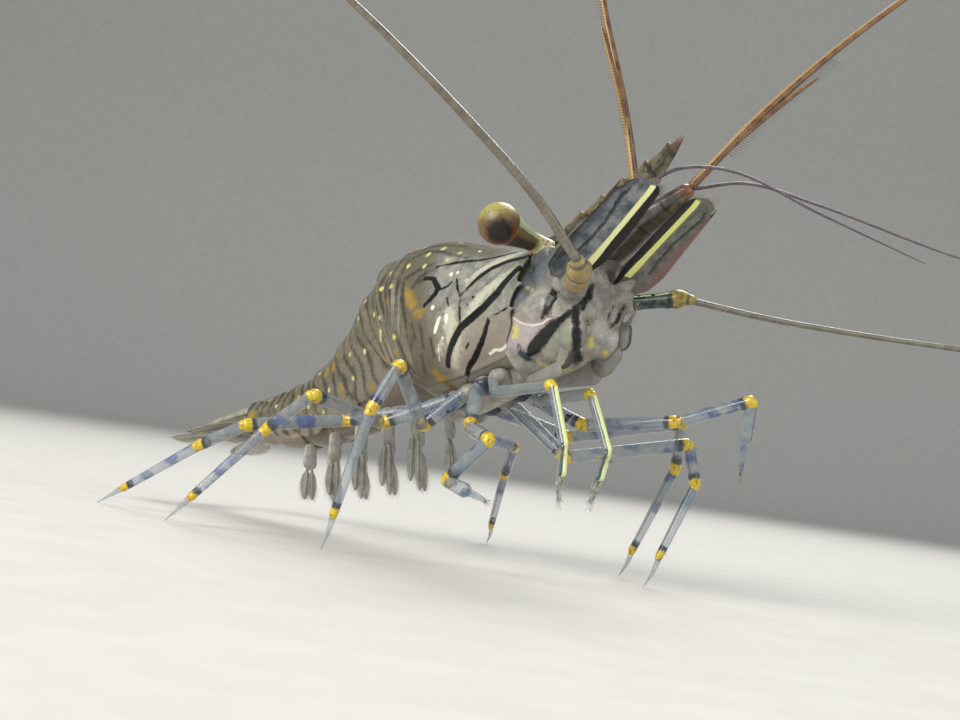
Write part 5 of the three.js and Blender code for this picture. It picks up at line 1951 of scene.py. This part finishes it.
class PRAWN_OT_antennae(PrawnPieces, bpy.types.Operator):
    """Make the antennal scales, the antennae's bases and their long whips"""

    bl_idname = "prawn.antennae"
    bl_label = "Antennae"

    def execute(self, context):
        look, stripe = context.scene.prawn_feeler, context.scene.prawn_shell.stripe[:]
        # Grey, slightly clear scales: a cream stripe beside a black one, a dark line and a brown rim
        blades = {
            name: shell(
                f"antennal_scale_shell_{name}",
                ground,
                second,
                (
                    ("outer", flank, 0.3, 0.2, 0.75),
                    ("rim", "#3c2a22", 0.05, 0.02, 0.9),
                    ("line", "#0e1a1e", 0.06, 0.08, 0.9),
                    ("dark", stripe, 0.04, 0.05, 1.0),
                    ("cream", cream, 0.03, 0.02, 1.0),
                ),
                speckle=0.7,
                clear=0.8,
            )
            for name, ground, second, flank, cream in (
                ("left", "#74756a", "#54524a", "#8f6460", "#dcde84"),
                ("right", "#4e5a66", "#98999c", "#38434e", "#f4f6b4"),
            )
        }
        # The left base is painted near black as shade and the right one grey-brown, as shaded and lit copies
        # of one finish: pale dashes above, an ochre far end
        bases = {
            name: base_finish(f"antenna_base_shell_{name}", ground, second, "#95803a", 1.0, 0.7)
            for name, ground, second in (("left", "#1c2725", "#46524c"), ("right", "#6f6b6a", "#8d8784"))
        }
        # Grey-brown whips that turn tawny towards their tips, and straw-coloured fringes
        reed = feeler_finish("antenna_whip", look.reed[:], "#777162", "#3c352a", (30, 80, "#6e5a40"))
        hair = bristle_finish("scale_hair", "#6a5c50", "#b8a890")
        girth = {"left": (0.17, 0.15), "right": (0.24, 0.2)}
        for name, side in SIDES.items():
            scale = f"antennal_scale_{name}"
            antennal_scale(side).make(scale, blades[name], "glassy_shell", f"antenna_scale_{name}")
            scale_fringe(side).make(f"antennal_scale_fringe_{name}", hair)
            peduncle = f"antenna_peduncle_{name}"
            antenna_base(name).make(f"antenna_base_{name}", bases[name], "glassy_shell", peduncle)
            radii = girth[name] + (0.14, 0.12, 0.1, 0.08, 0.04)
            whip = feeler(ANTENNA[name], side, radii, look.long_annulus / MM)
            whip.make(f"antenna_whip_{name}", reed, "feeler", f"antenna_flagellum_{name}")
        return {"FINISHED"}


class PRAWN_OT_pincers(PrawnPieces, bpy.types.Operator):
    """Make the outer mouth legs and both pairs of pincer legs with their brushes"""

    bl_idname = "prawn.pincers"
    bl_label = "Mouth legs and pincers"

    def execute(self, context):
        legs = context.scene.prawn_leg
        finishes = {1: pincer_finish(legs), 2: leg_finish(legs)}
        # Clear grey plates with a black rim and a yellow far end, and straw-coloured brushes
        layers = (("rim", "#10150f", 0.06, 0.06, 0.9), ("far", "#b0a848", 0.1, 0.2, 0.5))
        mouth = shell("mouth_leg_shell", "#85857a", "#97918a", layers, speckle=0.8, clear=0.6)
        hair = bristle_finish("brush_hair", "#7a6e50", "#cfc49c")
        for name, side in SIDES.items():
            maxilliped(name).make(f"mouth_leg_{name}", mouth, "glassy_shell", f"maxilliped_{name}")
            tufts = Skin()
            start, end, radii = MAXILLIPED[name][-1]
            start, end = mirrored((start, end), side)
            for share in (0.2, 0.4, 0.6, 0.8, 0.95):
                brush(tufts, mix(start, end, share), end - start, mix(*radii, share), 14, 0.3, 7)
            tufts.make(f"mouth_leg_brush_{name}", hair)
            for number, finish in finishes.items():
                leg = f"pincer_leg_{number}_{name}"
                cheliped(number, name).make(leg, finish, "leg_shell", f"cheliped_{number}_{name}")
                *_, wrist, half, tip = cheliped_places(number, name)
                tufts = Skin()
                brush(tufts, tip, tip - half, 0.06, 30, 0.3, 11)
                if number == 1:
                    brush(tufts, mix(wrist, half, 0.15), half - wrist, 0.24, 60, 0.34, 12)
                tufts.make(f"pincer_brush_{number}_{name}", hair)
        return {"FINISHED"}


class PRAWN_OT_walking_legs(PrawnPieces, bpy.types.Operator):
    """Make the six walking legs"""

    bl_idname = "prawn.walking_legs"
    bl_label = "Walking legs"

    def execute(self, context):
        finish = bpy.data.materials.get("limb_shell") or leg_finish(context.scene.prawn_leg)
        # Pale grey hairs
        hair = bristle_finish("leg_hair", "#9a9a8c", "#dcd8c4")
        # Radius of each hairy segment and the shares of the way along it that carry hairs
        tufted = ((0.28, (0.25, 0.5, 0.75, 0.92)), (0.22, (0.25, 0.5, 0.75, 0.92)), (0.12, (0.25, 0.5)))
        for name in SIDES:
            for number in (3, 4, 5):
                leg, solid = f"walking_leg_shell_{number}_{name}", f"walking_leg_{number}_{name}"
                walking_leg(number, name).make(leg, finish, "leg_shell", solid)
                places = leg_places(number, name)
                tufts = Skin()
                for start, end, (radius, shares) in zip(places[2:5], places[3:6], tufted):
                    for share in shares:
                        brush(tufts, mix(start, end, share), end - start, radius * 0.8, 5, 0.3, number, 0.009)
                tufts.make(f"walking_leg_hair_{number}_{name}", hair)
        return {"FINISHED"}


class PRAWN_OT_abdomen(PrawnPieces, bpy.types.Operator):
    """Make the six hoops of the abdomen"""

    bl_idname = "prawn.abdomen"
    bl_label = "Abdomen"

    def execute(self, context):
        look = context.scene.prawn_shell
        # Olive hoops: black bands, pale spots, yellow patches and a darker rear edge
        finish = shell(
            "abdomen_shell",
            look.hoop[:],
            "#6e6755",
            (
                ("dark", look.stripe[:], 0.15, 0.2, 0.72),
                ("yellow", look.yellow[:], 0.2, 0.26, 0.9),
                ("spot", look.pale[:], 0.09, 0.06, 0.85),
            ),
            speckle=0.7,
            tints=(("low", "#7d7264", 0.5, 0.75),),
            edge_line=("rear", "#3a3a2c", 0.03, 0.09),
        )
        for number in range(1, 7):
            hoop(number).make(f"abdomen_hoop_{number}", finish, "carapace_shell", f"abdomen_{number}")
        return {"FINISHED"}


class PRAWN_OT_tail(PrawnPieces, bpy.types.Operator):
    """Make the telson, the tail fan and its fringes"""

    bl_idname = "prawn.tail"
    bl_label = "Tail fan"

    def execute(self, context):
        look = context.scene.prawn_tail
        # Milky, slightly clear blades with dark ribs, and straw-coloured fringes
        layers = (("rib", look.rib[:], 0.04, 0.04, 0.8),)
        finish = shell("tail_fan_shell", look.blade[:], "#8c8a74", layers, speckle=0.9, clear=look.clear)
        hair = bristle_finish("tail_hair", "#7a7460", "#c8c0a0")
        telson().make("telson_plate", finish, "glassy_shell", "telson")
        for name, side in SIDES.items():
            for kind in FAN:
                blade, solid = f"tail_{kind}_{name}", f"uropod_{kind}_{name}"
                fan_blade(kind, side).make(blade, finish, "glassy_shell", solid)
                fan_fringe(kind, side).make(f"tail_{kind}_fringe_{name}", hair)
        return {"FINISHED"}


class PRAWN_OT_swimmerets(PrawnPieces, bpy.types.Operator):
    """Make the five pairs of swimmerets"""

    bl_idname = "prawn.swimmerets"
    bl_label = "Swimmerets"

    def execute(self, context):
        look = context.scene.prawn_tail
        # Milky, slightly clear paddles with a faint rib, and pale hairs
        layers = (("rib", "#55544a", 0.03, 0.03, 0.6),)
        finish = shell("swimmeret_shell", look.paddle[:], "#8d8b84", layers, speckle=0.7, clear=look.clear)
        hair = bristle_finish("swimmeret_hair", "#8a8674", "#cfc8ae")
        for name, side in SIDES.items():
            for number in range(1, 6):
                paddle, solid = f"swimmeret_paddle_{number}_{name}", f"swimmeret_{number}_{name}"
                swimmeret(number, side).make(paddle, finish, "glassy_shell", solid)
                swimmeret_fringe(number, side).make(f"swimmeret_fringe_{number}_{name}", hair)
        return {"FINISHED"}


# ---------------------------------------------------------------- stage
def turned(direction):
    """Turns a head-frame direction into the row frame."""
    x, y, z = pitched(direction, HEAD_PITCH)
    return np.array([y, -x, z])


CAMERA_PLACE = (45.5, -45.5, -27.9)
CAMERA_RIGHT = (0.630, 0.770, -0.098)
CAMERA_BACK = (0.700, -0.618, -0.357)


def camera_axes():
    """Right, up and backward directions of the camera in the row frame, made square to each other."""
    back = unit(turned(CAMERA_BACK))
    right = turned(CAMERA_RIGHT)
    right = unit(right - back * (right @ back))
    return right, np.cross(back, right), back


def sweep(place, right):
    """Rows of points of a floor that turns up into a backdrop: flat, then a quarter circle, then a wall.

    It lies level with the camera's right and starts behind the camera's place.
    """
    radius, reach, height = 220.0, 620.0, 900.0
    turn = np.linspace(0, math.pi / 2, 24)
    depth = np.concatenate([[-700.0, 0.0], reach + radius * np.sin(turn), [reach + radius]])
    rise = np.concatenate([[0.0, 0.0], radius * (1 - np.cos(turn)), [height]])
    across = np.linspace(-1400, 1400, 9)
    axes = (place * [1, 1, 0], np.cross(UP, right), right, np.array(UP))
    return set_out(axes, MM * depth[:, None], MM * across, MM * rise[:, None])


def aim(item, place, right, up, back):
    rows = np.vstack([np.stack([right, up, back, place], 1), [0, 0, 0, 1]])
    item.matrix_world = Matrix(rows.tolist())


def area_light(name, place, target, size, power, colour):
    """Round lamp at a place that faces the target."""
    data = bpy.data.lights.new(name, "AREA")
    data.shape = "DISK"
    data.size = size
    data.energy = power
    data.color = colour
    item = bpy.data.objects.new(name, data)
    bpy.context.scene.collection.objects.link(item)
    back = unit(place - target)
    right = unit(np.cross((0.0, 0.1, 1.0), back))
    aim(item, place, right, np.cross(back, right), back)


class PRAWN_OT_stage(PrawnPieces, bpy.types.Operator):
    """Make the floor, the backdrop, the lights and the camera"""

    bl_idname = "prawn.stage"
    bl_label = "Stage"

    def execute(self, context):
        look = context.scene.prawn_stage
        right, up, back = camera_axes()
        camera_place = to_row(CAMERA_PLACE)
        level = unit(back * [-1, -1, 0])
        grid = sweep(camera_place, np.cross(level, UP))
        n, m, _ = grid.shape
        index = np.arange(n * m).reshape(n, m)
        faces = np.stack([index[:-1, :-1], index[:-1, 1:], index[1:, 1:], index[1:, :-1]], -1).reshape(-1, 4)
        mesh = bpy.data.meshes.new("studio_floor")
        mesh.from_pydata(grid.reshape(-1, 3).tolist(), [], faces.tolist())
        mesh.polygons.foreach_set("use_smooth", np.ones(len(mesh.polygons), bool))
        # Matt off-white paper, faintly clouded
        material, node = new_finish("studio_paper")
        colour = painted(node, look.floor[:], (mottle(node, 3.0, 0.3, 0.7), "#bfbdb6"))
        mesh.materials.append(finished(material, node, colour, Roughness=0.85))
        floor = bpy.data.objects.new("studio_floor", mesh)
        context.scene.collection.objects.link(floor)
        # Lights: distance and direction from the head by the camera's axes, size, power and colour
        target = to_row((0.0, 0.0, 0.0))
        for name, reach, way, size, power, colour in (
            ("key_light", 0.30, (-0.75, 0.85, 0.75), 0.22, look.key, (1.0, 0.98, 0.95)),
            ("fill_light", 0.34, (0.9, 0.25, 0.6), 0.26, look.fill, (0.94, 0.97, 1.0)),
            ("back_light", 0.30, (0.35, 0.8, -0.75), 0.16, look.key * 0.5, (1.0, 1.0, 1.0)),
        ):
            place = target + reach * unit(way @ np.array((right, up, back)))
            area_light(name, place, target, size, power, colour)
        world = bpy.data.worlds.new("studio_air")
        world.use_nodes = True
        background = world.node_tree.nodes["Background"]
        background.inputs["Color"].default_value = (0.86, 0.9, 0.95, 1.0)
        background.inputs["Strength"].default_value = 0.55
        context.scene.world = world
        data = bpy.data.cameras.new("studio_camera")
        data.lens = look.lens
        data.sensor_width = 36.0
        data.clip_start = 0.002
        data.clip_end = 20.0
        camera = bpy.data.objects.new("studio_camera", data)
        context.scene.collection.objects.link(camera)
        aim(camera, camera_place, right, up, back)
        context.scene.camera = camera
        context.scene.view_settings.view_transform = "Standard"
        return {"FINISHED"}


# ---------------------------------------------------------------- panel and registration
OPERATORS = (
    PRAWN_OT_stage,
    PRAWN_OT_carapace,
    PRAWN_OT_rostrum,
    PRAWN_OT_head,
    PRAWN_OT_eyes,
    PRAWN_OT_antennules,
    PRAWN_OT_antennae,
    PRAWN_OT_pincers,
    PRAWN_OT_walking_legs,
    PRAWN_OT_abdomen,
    PRAWN_OT_tail,
    PRAWN_OT_swimmerets,
)
SETTINGS = {
    "prawn_shell": PrawnShellSettings,
    "prawn_eye": PrawnEyeSettings,
    "prawn_feeler": PrawnFeelerSettings,
    "prawn_leg": PrawnLegSettings,
    "prawn_tail": PrawnTailSettings,
    "prawn_stage": PrawnStageSettings,
}


class PRAWN_PT_panel(bpy.types.Panel):
    """Lists the pieces of the prawn and their settings"""

    bl_idname = "PRAWN_PT_panel"
    bl_label = "Rockpool Prawn"
    bl_space_type = "VIEW_3D"
    bl_region_type = "UI"
    bl_category = "Prawn"

    def draw(self, context):
        for operator in OPERATORS:
            self.layout.operator(operator.bl_idname)
        for attribute, group in SETTINGS.items():
            box = self.layout.box()
            for setting in group.__annotations__:
                box.prop(getattr(context.scene, attribute), setting)


def register():
    for group in SETTINGS.values():
        bpy.utils.register_class(group)
    for attribute, group in SETTINGS.items():
        setattr(bpy.types.Scene, attribute, bpy.props.PointerProperty(type=group))
    for operator in OPERATORS:
        bpy.utils.register_class(operator)
    bpy.utils.register_class(PRAWN_PT_panel)


def unregister():
    bpy.utils.unregister_class(PRAWN_PT_panel)
    for operator in reversed(OPERATORS):
        bpy.utils.unregister_class(operator)
    for attribute in SETTINGS:
        delattr(bpy.types.Scene, attribute)
    for group in SETTINGS.values():
        bpy.utils.unregister_class(group)


def main():
    register()
    for operator in OPERATORS:
        group, action = operator.bl_idname.split(".")
        getattr(getattr(bpy.ops, group), action)()


if __name__ == "__main__":
    main()
